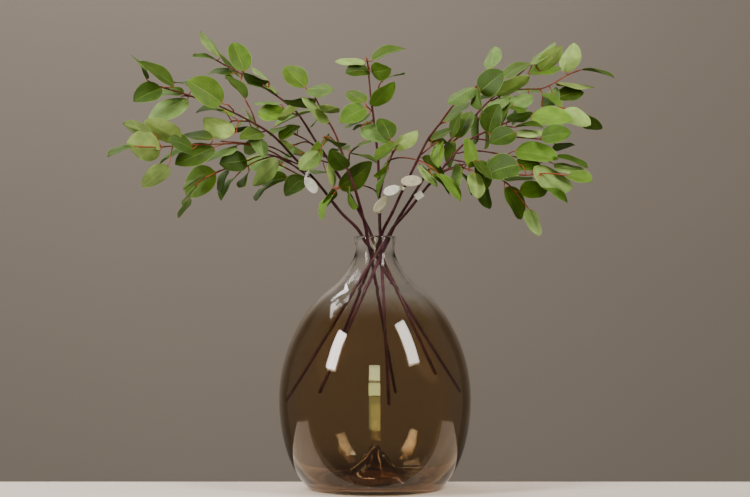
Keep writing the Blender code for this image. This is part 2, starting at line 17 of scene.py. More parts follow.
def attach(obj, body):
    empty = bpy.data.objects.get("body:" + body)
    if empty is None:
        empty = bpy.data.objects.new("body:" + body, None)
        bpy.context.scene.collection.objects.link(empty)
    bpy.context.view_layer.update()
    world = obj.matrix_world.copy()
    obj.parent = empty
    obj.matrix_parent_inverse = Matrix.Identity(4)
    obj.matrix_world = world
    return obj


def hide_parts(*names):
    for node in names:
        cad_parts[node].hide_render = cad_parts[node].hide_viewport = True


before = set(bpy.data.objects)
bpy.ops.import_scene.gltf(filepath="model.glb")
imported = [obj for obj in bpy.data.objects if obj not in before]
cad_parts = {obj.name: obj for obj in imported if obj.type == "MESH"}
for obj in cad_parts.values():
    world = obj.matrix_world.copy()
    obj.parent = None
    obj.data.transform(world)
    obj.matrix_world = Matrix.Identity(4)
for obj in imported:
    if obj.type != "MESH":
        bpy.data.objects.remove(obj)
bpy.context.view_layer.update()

MM = 0.001
GAP = 0.4  # left between the solids of neighbouring limbs

# Vase: knots of a smooth profile, as (radius, height, heading in degrees,
# handle length before the knot, handle length after it).
OUTER_WALL = [
    (33.2, 397.5, -100, 0, 9),
    (31.0, 378, -89, 9, 15),
    (73, 316, -34, 26, 38),
    (152, 142, -90, 86, 45),
    (118, 16, -129, 36, 23),
    (82, 0, 180, 20, 0),
]
UNDERSIDE = [
    (62, 0, 180, 0, 14),
    (24, 28, 128, 20, 13),
    (0, 61, 180, 5, 0),
]
INNER_WALL = [
    (28.2, 397.5, -90, 0, 12),
    (28.4, 366, -90, 12, 14),
    (71, 311, -34, 22, 36),
    (147.8, 142, -90, 82, 45),
    (113, 24, -131, 36, 20),
    (82, 10, 180, 14, 0),
]
PUNT_TOP = [
    (82, 10, 180, 0, 16),
    (27, 36, 128, 24, 15),
    (0, 69, 180, 6, 0),
]

# Stems: the straight run goes from the foot, through the waist of the bunch, to the bend.
WAIST_HEIGHT = 365
BEND_HEIGHT = 410
TRUNK_RADIUS = 2.5
TRUNK_TIP_RADIUS = 1.2
TWIG_RADIUS = 1.2
TWIG_TIP_RADIUS = 1.0
PETIOLE_RADIUS = 0.45

# The foliage is set out on a front drawing in perspective: (across, up) on the plane
# through the vase's axis, as seen from EYE_DISTANCE in front at EYE_HEIGHT.
EYE_DISTANCE = 3300
EYE_HEIGHT = 380

# Foot (x, y, z), waist (x, y), then the bent run as (across, up, depth).
STEMS = {
    1: (
        (138, 30, 151), (2, 16),
        [(-52, 435, 10), (-74, 463, 3), (-98, 492, -8), (-131, 527, -30), (-154, 552, -46),
         (-172, 567, -56), (-200, 583, -68), (-240, 603, -84), (-290, 621, -98), (-325, 632, -106)],
    ),
    2: (
        (34, 138, 143), (-6, 0),
        [(-30, 469, -54), (-45, 509, -60), (-55, 541, -64), (-66, 567, -67), (-88, 606, -72)],
    ),
    3: (
        (92, -102, 187), (11, 3),
        [(-47, 478, 60), (-72, 518, 70), (-91, 545, 78), (-122, 593, 90), (-156, 622, 100),
         (-207, 654, 118), (-244, 674, 130)],
    ),
    4: (
        (21, -140, 143), (10, -6),
        [(6, 490, 52), (4, 530, 58), (-2, 584, 60), (-7, 623, 58), (-11, 668, 55)],
    ),
    5: (
        (-84, 113, 159), (-4, 10),
        [(27, 436, -30), (42, 468, -42), (65, 515, -62), (84, 553, -78), (105, 581, -92), (126, 608, -104),
         (150, 618, -112)],
    ),
    6: (
        (-84, -113, 159), (8, -14),
        [(45, 440, 18), (76, 489, 38), (113, 545, 58), (150, 582, 72), (183, 616, 84), (213, 643, 96),
         (247, 672, 108)],
    ),
    7: (
        (-139, -33, 140), (-1, -16),
        [(50, 437, -13), (72, 465, -8), (91, 488, -2), (112, 513, 6), (136, 541, 14), (157, 556, 20),
         (205, 578, 36), (235, 588, 46)],
    ),
}

# Sprigs by stem: the twig's course (across, up), how far back it reaches, and its leaves
# as (base across, base up, tip across, tip up, width as seen from the front).
SPRIGS = {
    1: [
        ([(-98, 492), (-141, 520), (-175, 538), (-215, 546), (-260, 545), (-300, 544), (-338, 541),
          (-376, 541)],
         -150,
         [(-257, 552, -304, 557, 15), (-289, 538, -322, 550, 24), (-255, 540, -309, 514, 34),
          (-308, 552, -358, 579, 30), (-350, 562, -397, 577, 17), (-340, 536, -391, 547, 42),
          (-383, 541, -417, 525, 12), (-328, 512, -367, 481, 24), (-305, 533, -340, 515, 8)]),
        ([(-131, 527), (-165, 541), (-210, 547), (-245, 550)],
         -40,
         [(-219, 543, -277, 518, 15), (-190, 555, -201, 532, 24), (-187, 560, -176, 527, 22)]),
        ([(-112, 507), (-165, 528), (-205, 518), (-240, 505), (-270, 491), (-287, 479)],
         -70,
         [(-252, 501, -297, 469, 42), (-268, 493, -298, 474, 4), (-284, 476, -298, 451, 8),
          (-296, 457, -311, 433, 6), (-203, 520, -241, 514, 32)]),
        ([(-90, 484), (-148, 511), (-168, 516)],
         20,
         [(-167, 507, -202, 521, 28), (-154, 520, -189, 483, 24), (-150, 513, -132, 538, 11)]),
        ([(-94, 489), (-115, 492), (-139, 493), (-153, 488)],
         28,
         [(-110, 493, -139, 466, 28), (-139, 491, -176, 480, 19), (-164, 479, -185, 457, 9)]),
        ([(-122, 517), (-160, 526), (-200, 512), (-222, 493)],
         -20,
         [(-233, 506, -241, 470, 15), (-222, 492, -240, 458, 13), (-200, 501, -204, 479, 15)]),
        ([(-172, 567), (-187, 564), (-198, 571)],
         26,
         [(-178, 563, -209, 553, 22), (-204, 585, -226, 571, 8), (-187, 571, -207, 600, 4),
          (-198, 573, -250, 572, 5)]),
        ([(-205, 586), (-226, 582), (-232, 575)],
         16,
         [(-224, 562, -269, 585, 30), (-240, 598, -278, 594, 9), (-225, 588, -263, 601, 7)]),
        ([(-185, 575), (-196, 598), (-206, 616)],
         36,
         [(-206, 617, -236, 652, 15)]),
        ([(-230, 598), (-230, 605), (-234, 609)],
         -10,
         [(-242, 610, -291, 641, 40)]),
        ([(-290, 621), (-300, 622), (-308, 621)],
         26,
         [(-297, 617, -352, 583, 32), (-303, 625, -343, 628, 16), (-289, 634, -318, 644, 10)]),
        ([(-325, 632), (-345, 638), (-362, 647)],
         -14,
         [(-362, 648, -386, 685, 4), (-318, 637, -367, 670, 18), (-338, 634, -377, 614, 32)]),
    ],
    2: [
        ([(-56, 544), (-70, 556), (-80, 557)],
         10,
         [(-82, 556, -48, 546, 5), (-72, 553, -86, 538, 8), (-88, 534, -116, 507, 27)]),
        ([(-70, 575), (-78, 582), (-86, 588)],
         -8,
         [(-72, 581, -111, 614, 17), (-84, 588, -98, 578, 9), (-82, 596, -61, 600, 15)]),
        ([(-88, 606), (-97, 622), (-108, 633)],
         -6,
         [(-110, 635, -142, 666, 31), (-109, 632, -68, 629, 21), (-94, 616, -140, 616, 12)]),
        ([(-47, 512), (-41, 524), (-38, 533), (-16, 552)],
         24,
         [(-38, 532, -9, 547, 4), (-37, 530, 0, 515, 5), (-42, 536, -70, 532, 4),
          (-45, 507, -68, 533, 26)]),
    ],
    3: [
        ([(-76, 524), (-92, 537), (-109, 552), (-138, 566)],
         34,
         [(-122, 575, -147, 553, 20), (-140, 573, -161, 558, 12), (-158, 573, -102, 597, 9)]),
        ([(-96, 552), (-112, 549), (-143, 537)],
         18,
         [(-153, 548, -112, 528, 12), (-148, 512, -160, 496, 12)]),
        ([(-70, 514), (-90, 521), (-121, 533)],
         -10,
         [(-106, 511, -91, 546, 19), (-78, 500, -103, 504, 5)]),
        ([(-126, 597), (-140, 596), (-146, 603)],
         -30,
         [(-142, 592, -183, 596, 28), (-124, 600, -150, 587, 14), (-150, 609, -190, 611, 7)]),
        ([(-160, 625), (-168, 634), (-178, 640)],
         -22,
         [(-157, 624, -198, 638, 4), (-154, 625, -178, 646, 7), (-170, 646, -195, 668, 6),
          (-168, 644, -205, 657, 13)]),
        ([(-207, 654), (-214, 664), (-222, 667)],
         20,
         [(-207, 660, -225, 704, 33), (-212, 650, -246, 690, 5), (-225, 656, -262, 658, 13),
          (-214, 643, -226, 652, 6)]),
        ([(-244, 674), (-254, 680), (-262, 686)],
         12,
         [(-246, 683, -275, 723, 13), (-252, 679, -283, 681, 10)]),
    ],
    4: [
        ([(7, 470), (16, 499), (24, 520), (30, 536)],
         -26,
         [(24, 553, 8, 584, 28), (33, 536, 64, 565, 23), (36, 548, 3, 519, 18),
          (22, 523, 0, 496, 7), (21, 504, 6, 463, 7)]),
        ([(6, 492), (17, 514), (33, 523), (54, 523), (76, 517), (95, 505)],
         -124,
         [(74, 524, 107, 492, 16), (100, 499, 131, 457, 16), (71, 513, 97, 479, 14),
          (90, 497, 117, 467, 10)]),
        ([(9, 458), (-3, 474), (-25, 481), (-48, 478), (-64, 475)],
         -96,
         [(-58, 478, -9, 514, 30), (-42, 476, -29, 446, 9), (-67, 479, -69, 517, 12),
          (-68, 475, -84, 446, 12), (-66, 465, -82, 429, 12)]),
        ([(-6, 604), (2, 614), (7, 640), (16, 648)],
         -24,
         [(-6, 606, 27, 640, 23), (16, 648, 43, 657, 4)]),
        ([(-4, 598), (-9, 602), (-15, 606)],
         -18,
         [(-16, 611, -42, 628, 22), (-15, 603, -52, 580, 30), (-8, 594, -43, 572, 12)]),
        ([(-2, 580), (-10, 577), (-13, 582)],
         -20,
         [(-22, 571, 20, 552, 27), (-5, 577, -31, 570, 4)]),
        ([(-11, 668), (-12, 676), (-14, 684)],
         -10,
         [(-4, 677, 44, 697, 18), (-16, 677, -59, 675, 14), (-9, 660, -43, 656, 25),
          (-5, 659, 23, 661, 27)]),
    ],
    5: [
        ([(74, 533), (88, 541), (100, 550)],
         30,
         [(105, 551, 101, 511, 18), (90, 551, 122, 568, 13)]),
        ([(98, 572), (106, 579), (113, 580)],
         20,
         [(112, 579, 147, 610, 14)]),
        ([(130, 610), (139, 618), (150, 618)],
         10,
         [(152, 616, 170, 603, 13), (154, 617, 187, 622, 7)]),
        ([(150, 618), (157, 630), (166, 643), (182, 660)],
         -10,
         [(158, 636, 118, 611, 22), (166, 628, 199, 656, 36), (184, 665, 191, 699, 21),
          (162, 632, 167, 602, 14)]),
    ],
    6: [
        ([(108, 538), (120, 548), (132, 556)],
         -34,
         [(131, 554, 151, 595, 25), (127, 550, 119, 512, 17), (121, 553, 136, 591, 14),
          (112, 546, 92, 560, 16)]),
        ([(143, 576), (158, 576), (166, 588)],
         22,
         [(162, 591, 156, 547, 15), (171, 586, 173, 541, 4), (171, 596, 182, 559, 10),
          (174, 598, 214, 621, 22)]),
        ([(183, 616), (220, 631), (262, 633), (285, 643), (305, 655), (326, 663)],
         82,
         [(262, 629, 225, 632, 9), (268, 603, 287, 634, 23), (288, 618, 328, 628, 25),
          (288, 642, 345, 637, 5), (303, 659, 316, 703, 29), (328, 663, 373, 650, 7),
          (265, 626, 290, 604, 15), (241, 612, 220, 579, 15)]),
        ([(190, 622), (200, 614), (212, 612)],
         -30,
         [(218, 606, 249, 622, 24), (207, 618, 183, 602, 16), (214, 606, 236, 587, 15)]),
        ([(203, 634), (198, 641), (198, 650)],
         -22,
         [(203, 649, 243, 673, 19), (190, 622, 238, 649, 21)]),
        ([(247, 672), (252, 676), (262, 680)],
         14,
         [(244, 656, 292, 667, 20), (246, 671, 283, 706, 12), (262, 662, 292, 696, 26)]),
    ],
    7: [
        ([(128, 532), (157, 535), (190, 531), (223, 525), (255, 522), (279, 520)],
         -30,
         [(222, 534, 282, 521, 32), (284, 514, 328, 501, 17), (282, 526, 330, 508, 12),
          (215, 526, 184, 514, 14), (261, 515, 222, 509, 25)]),
        ([(97, 496), (120, 506), (140, 508), (151, 502)],
         -60,
         [(158, 501, 161, 462, 26), (150, 508, 147, 553, 22), (155, 519, 178, 491, 14),
          (132, 514, 122, 474, 17), (138, 500, 150, 467, 12), (161, 519, 176, 478, 26)]),
        ([(104, 504), (150, 515), (190, 508), (228, 497), (248, 497), (276, 499), (301, 496)],
         -66,
         [(228, 513, 177, 496, 40), (250, 504, 310, 480, 34), (305, 496, 338, 485, 21),
          (250, 490, 206, 491, 6), (264, 478, 300, 454, 13)]),
        ([(120, 522), (160, 512), (195, 492), (213, 480), (228, 462), (243, 444)],
         -24,
         [(205, 476, 231, 431, 28), (229, 470, 270, 472, 27),
          (243, 443, 258, 404, 22), (172, 487, 182, 447, 20)]),
        ([(160, 558), (183, 552), (222, 556), (262, 553), (280, 548)],
         -36,
         [(222, 564, 184, 547, 30), (223, 560, 267, 566, 14), (263, 556, 305, 562, 29),
          (285, 546, 313, 545, 10)]),
        ([(196, 575), (208, 573), (222, 572)],
         -26,
         [(180, 562, 194, 604, 33), (202, 578, 213, 609, 13), (222, 572, 262, 570, 8),
          (210, 582, 243, 594, 15)]),
        ([(235, 588), (250, 594), (268, 603), (296, 603), (322, 595)],
         30,
         [(246, 588, 305, 582, 31), (268, 596, 303, 590, 9), (297, 599, 336, 577, 28),
          (327, 593, 358, 572, 19)]),
    ],
}
MIN_LEAF_LENGTH = 46
LEAF_WIDTH_RATIO = 0.7
LEAF_FULLNESS = 1.1  # leaf sizes over those in the rows
LEAF_THICKNESS = 1.0
LEAF_CAMBER = 2.5
LEAF_STATIONS = (0, 0.22, 0.62, 1)  # along the blade
TRUNK_STEPS = 3  # points on the curve for each one given
TWIG_STEPS = 2
TURN_COST = 10  # millimetres of petiole that a turn at a right angle is worth
CLEARANCE = 1.2  # kept round each leaf and twig while they are placed
HANGING_LEAF = 4  # every fourth leaf of a sprig hangs down, and the others turn up to the light
# Tried in turn until the twig or the leaf is clear of what is already there.
BOWS = (0, 6, -6, 12, -12, 20, -20, 30, -30, 42, -42, 56, -56)
LEAF_SHIFTS = (-6, -1, -11, 4, -16, 9, -22, 15, -29, 22, -36, 30, -44, 40, -54, 50)

# Tags: stem, centre (across, up), how far in front of the stem, tilt in degrees, length, width.
TAGS = {
    "tag_1": (1, (-101, 480), 24, -52, 29, 17),
    "tag_4": (4, (9, 450), 14, 50, 32, 15),
    "tag_5": (5, (26, 472), 9, 18, 26, 15),
    "tag_5_upper": (5, (58, 487), 9, 2, 33, 17),
}
LABEL_STEM = 7
LABEL = ((70, 464), 5, 35, 13, 11)  # a square one, without the name and stem

# Tone of each leaf's side that faces the front, in the order of its sprig's rows. Upper
# sides: d dark, m middle, f fresh. Undersides: g grey-green, s sage, p pale, q palest.
# The tones were set leaf by leaf to how bright each leaf looks. So they are partly the
# leaves' own colours and partly painted light: darker tones are painted shade on leaves
# that lie in shade, and lighter ones, q most of all, are painted light on leaves in shadow.
TONES_AND_PAINTED_LIGHT = {
    1: ["dddqqpdqf", "sps", "mfdsd", "sqs", "ddd", "dfd", "dqpd", "pdf", "d", "f", "sdd", "fdd"],
    2: ["dds", "pdp", "mgd", "dddd"],
    3: ["ddf", "ps", "fg", "fps", "dppd", "mpdm", "pd"],
    4: ["dpfff", "dfqm", "dmpdf", "ff", "mmg", "sd", "dpdd"],
    5: ["fd", "d", "dg", "gdsd"],
    6: ["dddm", "sfss", "ssdppdfs", "ssm", "dp", "fsp"],
    7: ["fpdsm", "pfdsdm", "dpmsm", "mfqd", "dqmd", "ddds", "fppm"],
}
# Colours of the tones: besides the leaves' own colours, the darker ones hold painted shade and q holds
# painted light.
TINTS = {
    "d": (0.056, 0.103, 0.010),
    "m": (0.090, 0.168, 0.017),
    "f": (0.130, 0.238, 0.026),
    "g": (0.105, 0.170, 0.040),
    "s": (0.150, 0.245, 0.060),
    "p": (0.270, 0.385, 0.100),
    "q": (0.380, 0.520, 0.160),
}
OTHER_SIDE = {"d": "g", "m": "s", "f": "p", "g": "d", "s": "m", "p": "f", "q": "s"}
UPPER_TONES = "dmf"
TINT_SPREAD = 0.16  # how much one leaf's brightness differs from the next

CREAM_TAGS = ("tag_4", "tag_5_upper")
PAPER_COLOURS = {"white": (0.94, 0.90, 0.87), "cream": (0.70, 0.61, 0.49)}
LABEL_RINGS = 6
LABEL_TURNS = 40
NECK_START = 0.93  # of the way from the label's middle to its end
NECK_WIDTH = 0.44  # of the label's width, up to MAX_NECK_WIDTH
MAX_NECK_WIDTH = 6
NECK_GAP = 0.35  # between a label's neck and its trunk
NECK_STEPS = 7
WRAP_STEPS = 24
PAPER_THICKNESS = 0.3
WRAP_RISE = 0.01  # how much further out each step of the wrap lies than the last

# Material of the upper side and of the underside: name, share and colour of the veins,
# share of the midrib, relief of the veins as (way, depth, strength), range of roughness.
LEAF_SIDES = (
    ("leaf_upper", 0.16, (0.25, 0.37, 0.07), 0.5, (-1, 0.00018, 0.7), (0.5, 0.62)),
    ("leaf_under", 0.22, (0.35, 0.47, 0.17), 0.55, (1, 0.0003, 0.8), (0.58, 0.7)),
)

# Leaf blades.
BLADE_ROWS = 14
BLADE_COLUMNS = (-1, -0.82, -0.58, -0.32, -0.09, 0, 0.09, 0.32, 0.58, 0.82, 1)
BLADE_THICKNESS = 0.4
RIB_HEIGHT = 0.45
FOLD_ANGLES = (4, 17)  # degrees that each half is folded up from flat
EDGE_WAVE = 1.1
SIDE_BEND = 2.2  # sideways curve of the blade's midrib
LEAF_EDGE_ANGLE = 70  # degrees over which an edge is shaded sharp
WARMTH_SPREAD = 0.06
TWIST = 9  # degrees from base to tip, at most
STALK_RADII = (0.95, 0.6)
STALK_STEPS = 9
STALK_SIDES = 8

# Trunks and twigs.
LIMB_SIDES = 16
TWIG_SIDES = 10
LIMB_STEP = 4  # length of one ring of a trunk or twig
TRUNK_KNOTS = (46, 0.16)  # spacing of the leaf scars and how much they swell
TWIG_KNOTS = (21, 0.3)
SCAR_LENGTH = 3
STRAIGHT_RUN = 100  # a longer stretch between two points is kept straight
TRUNK_WOBBLE = 0.5
WOBBLE_LENGTH = 34

# Glass.
GLASS_WALL_STEPS = 18
GLASS_PUNT_STEPS = 12
GLASS_LATHE_STEPS = 128
GLASS_WAVE = 0.14  # unevenness of the inner wall
WAVE_LENGTH = 70
WAVE_HEIGHT = 300  # where the unevenness is as large as that
EVEN_RINGS = 6  # inner rings next to the rim that stay round
CLEAR_ABOVE = 0.318
SMOKED_BELOW = 0.262
SMOKE_DRIFT = 0.035  # how far the edge of the smoke strays up and down
BASE_GLASS = (0.060, 0.005)  # the glass gets thicker and darker over these heights
PUNT_GLASS = (0.066, 0.048)  # and towards the punt over these radii
BODY_COLOUR = (0.60, 0.485, 0.325)
BASE_COLOUR = (0.30, 0.20, 0.12)
PUNT_COLOUR = (0.46, 0.34, 0.22)
EDGE_COLOUR = (0.055, 0.03, 0.010)
NECK_COLOUR = (0.985, 0.99, 0.98)
SHADOW_LIGHT = (0.72, 0.72, 0.72)  # share of the light that a shadow still gets
# The thin neck bends light less: refractive index from the base up, and where it changes.
BENDING = (1.5, 1.45, 1.4, 1.35, 1.3)
BENDING_CHANGES = (0.325, 0.335, 0.345, 0.355)


def heading(degrees):
    turn = math.radians(degrees)
    return Vector((math.cos(turn), math.sin(turn)))


def bezier(a, b, c, d, t):
    s = 1 - t
    return a * s**3 + b * 3 * s * s * t + c * 3 * s * t * t + d * t**3


def spline(a, b, c, d, t):
    """The point of a Catmull-Rom spline at t between b and c."""
    pull = (c - a) * t + (a * 2 - b * 5 + c * 4 - d) * t**2 + (b * 3 - a - c * 3 + d) * t**3
    return b + pull / 2


def smooth_profile(knots, steps):
    """Points (radius, height) of a Bezier chain through its knots."""
    points = [Vector(knots[0][:2])]
    for start, end in zip(knots, knots[1:]):
        a = Vector(start[:2])
        d = Vector(end[:2])
        b = a + heading(start[2]) * start[4]
        c = d - heading(end[2]) * end[3]
        points += [bezier(a, b, c, d, step / steps) for step in range(1, steps + 1)]
    return points


def vase_profile():
    """From the top of the punt inside, over the rim, to the underside of the punt."""
    inside = smooth_profile(INNER_WALL, GLASS_WALL_STEPS) + smooth_profile(PUNT_TOP, GLASS_PUNT_STEPS)[1:]
    outside = smooth_profile(OUTER_WALL, GLASS_WALL_STEPS) + smooth_profile(UNDERSIDE, GLASS_PUNT_STEPS)
    middle = (inside[0] + outside[0]) / 2
    lip = (outside[0].x - inside[0].x) / 2
    rim = [middle + heading(turn) * lip for turn in (135, 90, 45)]
    return inside[::-1] + rim + outside


def drawn(across, up, depth):
    """The point behind (across, up) of the front drawing that lies at this depth."""
    scale = (EYE_DISTANCE + depth) / EYE_DISTANCE
    return Vector((across * scale, depth, EYE_HEIGHT + (up - EYE_HEIGHT) * scale))


def on_drawing(point):
    scale = EYE_DISTANCE / (EYE_DISTANCE + point.y)
    return Vector((point.x * scale, EYE_HEIGHT + (point.z - EYE_HEIGHT) * scale))


def padded(points):
    """The points with one more past each end, where the curve's first and last pull come from."""
    return [points[0] * 2 - points[1]] + points + [points[-1] * 2 - points[-2]]


def flow(points, steps):
    """A smooth curve through the points."""
    outer = padded(points)
    course = [points[0]]
    for a, b, c, d in zip(outer, outer[1:], outer[2:], outer[3:]):
        course += [spline(a, b, c, d, step / steps) for step in range(1, steps + 1)]
    return course


def tapered(course, first, last):
    """Radii that fall evenly from the first to the last along the course."""
    return [first + (last - first) * i / (len(course) - 1) for i in range(len(course))]


class Limb:
    """A trunk or a twig: its centre line and its radius at each point."""

    def __init__(self, course, radii):
        self.course = course
        self.radii = radii

    def nearest(self, target):
        """Index of the point seen nearest to the target (across, up)."""
        seen = [(on_drawing(point) - Vector(target)).length for point in self.course]
        return seen.index(min(seen))

    def leaf_root(self, row):
        """Index of the point that a petiole best leaves from: close, and facing the tip."""
        base = Vector(row[:2])
        blade = (Vector(row[2:4]) - base).normalized()

        def cost(i):
            stalk = base - on_drawing(self.course[i])
            turn = (stalk.length - stalk.dot(blade)) / (stalk.length + 1)
            return stalk.length + TURN_COST * turn

        return min(range(1, len(self.course) - 1), key=cost)

    def tangent(self, i):
        ahead = self.course[min(i + 1, len(self.course) - 1)]
        behind = self.course[max(i - 1, 0)]
        return (ahead - behind).normalized()

    def solid(self, margin=0):
        """Corners and faces of a six-sided tube round the course, for clearance tests."""
        return stack(rings_along(self.course, [radius + margin for radius in self.radii], 6))


def stack(rings):
    """Corners and faces of the closed skin over rings that all have as many corners."""
    count = len(rings[0])
    corners = [corner for ring in rings for corner in ring]
    faces = [tuple(range(count))[::-1], tuple(range(len(corners) - count, len(corners)))]
    for base in range(0, len(corners) - count, count):
        for k in range(count):
            n = (k + 1) % count
            faces.append((base + k, base + n, base + count + n, base + count + k))
    return corners, faces


def blade_width(s):
    """Half the leaf's width at s along the blade, as a share of its widest."""
    return 2.36 * s**0.55 * (1 - s) ** 0.7


class Leaf:
    """A leaf: petiole from the twig, then a blade that is widest below its middle."""

    def __init__(self, row, root, depth, pitch_sign, roll_sign):
        across, up, tip_across, tip_up, shown_width = row
        self.root = root
        self.base = drawn(across, up, depth)
        flat = drawn(tip_across, tip_up, depth) - self.base
        shown = flat.length * LEAF_FULLNESS
        shown_width *= LEAF_FULLNESS
        self.length = max(shown * 1.06, MIN_LEAF_LENGTH)
        pitch = math.acos(shown / self.length) * pitch_sign
        flat.normalize()
        back = Vector((0, 1, 0))
        self.along = flat * math.cos(pitch) + back * math.sin(pitch)
        self.width = max(self.length * LEAF_WIDTH_RATIO, shown_width * 1.08)
        roll = math.acos(shown_width / self.width) * roll_sign
        level = flat.cross(back).normalized()
        lift = level.cross(self.along).normalized()
        self.side = level * math.cos(roll) + lift * math.sin(roll)
        self.normal = self.along.cross(self.side)
        self.turn = self.along.rotation_difference(self.base - root)

    def facing_down(self):
        """How far the side that faces the front is turned down, away from the light."""
        return self.normal.z if self.normal.y > 0 else -self.normal.z

    def centre(self, s):
        camber = self.normal * (LEAF_CAMBER * 4 * s * (1 - s))
        return self.base + self.along * (self.length * s) + camber

    def blade(self, margin=0):
        """Rings of four corners: edge, underside, edge, upper side."""
        rings = []
        for s in LEAF_STATIONS:
            reach = max(self.width / 2 * blade_width(s), PETIOLE_RADIUS) + margin
            half = LEAF_THICKNESS / 2 + margin
            middle = self.centre(s) + self.along * (margin if s == 1 else 0)
            rings.append(ring(middle, self.side * reach, self.normal * half))
        half_turn = Quaternion().slerp(self.turn, 0.5)
        rings[0] = self.stalk_ring(self.base, half_turn, margin)
        return rings

    def petiole(self):
        """The ring inside the twig; the blade's first ring ends the petiole."""
        return self.stalk_ring(self.root, self.turn, 0)

    def stalk_ring(self, middle, turn, margin):
        reach = PETIOLE_RADIUS + margin
        return ring(middle, (turn @ self.side) * reach, (turn @ self.normal) * reach)


def ring(middle, side, top):
    return [middle - side, middle - top, middle + side, middle + top]


class Clearance:
    """What is already placed, and whether a new shape stays clear of it."""

    def __init__(self):
        self.placed = []

    def measured(self, shape):
        """Middle of a shape, radius of a ball round it, and its faces to test against."""
        corners, faces = shape
        middle = sum(corners, Vector()) / len(corners)
        radius = max((corner - middle).length for corner in corners)
        return middle, radius, BVHTree.FromPolygons(corners, faces)

    def add(self, owner, shape):
        self.placed.append((owner, *self.measured(shape)))

    def free(self, shape, ignored=()):
        middle, radius, tree = self.measured(shape)
        for owner, other_middle, other_radius, other_tree in self.placed:
            near = (middle - other_middle).length < radius + other_radius
            if near and owner not in ignored and tree.overlap(other_tree):
                return False
        return True


def trunk_limb(foot, waist, run):
    """Straight from the foot through the waist to the bend, then along the drawn run."""
    start = Vector(foot)
    slope = (Vector((*waist, WAIST_HEIGHT)) - start) / (WAIST_HEIGHT - start.z)
    bend = start + slope * (BEND_HEIGHT - start.z)
    below = bend - slope * 30
    curve = flow([below, bend] + [drawn(*point) for point in run], TRUNK_STEPS)[TRUNK_STEPS:]
    return Limb([start] + curve, [TRUNK_RADIUS] + tapered(curve, TRUNK_RADIUS, TRUNK_TIP_RADIUS))


def twig_limb(trunk, course, reach, bow):
    """A twig from the trunk's side, or from its end, swung back by its reach and its bow."""
    start = trunk.nearest(course[0])
    root = trunk.course[start]
    drawn_lengths = [0]
    for a, b in zip(course, course[1:]):
        drawn_lengths.append(drawn_lengths[-1] + (Vector(b) - Vector(a)).length)
    points = [root]
    for (across, up), length in list(zip(course, drawn_lengths))[1:]:
        share = length / drawn_lengths[-1]
        depth = root.y + reach * share + bow * math.sin(math.pi * share / 2)
        points.append(drawn(across, up, depth))
    away = points[1] - root
    along = trunk.tangent(start)
    sideways = away - along * away.dot(along)
    if start == len(trunk.course) - 1:
        points[0] = root + away.normalized() * GAP * 2
    else:
        points[0] = root + sideways.normalized() * (trunk.radii[start] + TWIG_RADIUS + GAP)
    curve = flow(points, TWIG_STEPS)
    return Limb(curve, tapered(curve, TWIG_RADIUS, TWIG_TIP_RADIUS))


def place_twig(name, trunk_name, trunk, course, reach, clearance):
    for bow in BOWS:
        twig = twig_limb(trunk, course, reach, bow)
        on_its_trunk = clearance.free(twig.solid(GAP / 2))
        if on_its_trunk and clearance.free(twig.solid(CLEARANCE), ignored=[trunk_name]):
            clearance.add(name, twig.solid())
            return twig
    raise RuntimeError(f"no free course for {name}")


def place_leaf(name, row, order, twig, clearance):
    """The first free leaf over a range of depths and of the ways that it can tilt."""
    root = twig.leaf_root(row)
    tilts = [(1, 1), (-1, 1), (1, -1), (-1, -1)]
    for shift in LEAF_SHIFTS:
        depth = twig.course[root].y + shift
        made = [Leaf(row, twig.course[root], depth, *tilt) for tilt in tilts]
        made.sort(key=Leaf.facing_down, reverse=order % HANGING_LEAF == HANGING_LEAF - 1)
        for leaf in made:
            stalk = stack([leaf.petiole()] + leaf.blade()[:2])
            blade = stack(leaf.blade(CLEARANCE)[1:])
            if clearance.free(stalk, ignored=[name]) and clearance.free(blade):
                clearance.add(name, stack([leaf.petiole()] + leaf.blade()))
                return leaf
    raise RuntimeError(f"no free place for leaf {order} of {name}")


def grow():
    """Trunks, twigs and leaves of all the stems, placed clear of each other."""
    clearance = Clearance()
    trunks = {}
    for stem, (foot, waist, run) in STEMS.items():
        trunks[stem] = trunk_limb(foot, waist, run)
        clearance.add(f"stem_{stem}", trunks[stem].solid())
    twigs = {}
    for stem, sprigs in SPRIGS.items():
        for number, (course, reach, _) in enumerate(sprigs, 1):
            name = f"sprig_{stem}_{number}"
            twigs[name] = place_twig(
                name, f"stem_{stem}", trunks[stem], course, reach, clearance
            )
    leaves = {}
    for stem, sprigs in SPRIGS.items():
        for number, (_, _, rows) in enumerate(sprigs, 1):
            name = f"sprig_{stem}_{number}"
            leaves[name] = [
                place_leaf(name, row, order, twigs[name], clearance)
                for order, row in enumerate(rows)
            ]
    return trunks, twigs, leaves


def add_mesh(name, corners, faces, body, finishes):
    """A smooth-shaded piece in metres from corners in millimetres, riding on its body."""
    mesh = bpy.data.meshes.new(name)
    mesh.from_pydata([corner * MM for corner in corners], [], faces)
    work = bmesh.new()
    work.from_mesh(mesh)
    bmesh.ops.recalc_face_normals(work, faces=work.faces)
    work.to_mesh(mesh)
    work.free()
    mesh.shade_smooth()
    made = bpy.data.objects.new(name, mesh)
    bpy.context.scene.collection.objects.link(made)
    for finish in finishes:
        mesh.materials.append(finish)
    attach(made, body)
    return made


def blend(a, b, share):
    return a + (b - a) * share


def sway(point, size, seed):
    """A smooth random vector at the point, of up to about one, over distances of the size."""
    return noise.noise_vector(point / size + Vector((seed, seed * 0.37, -seed)))


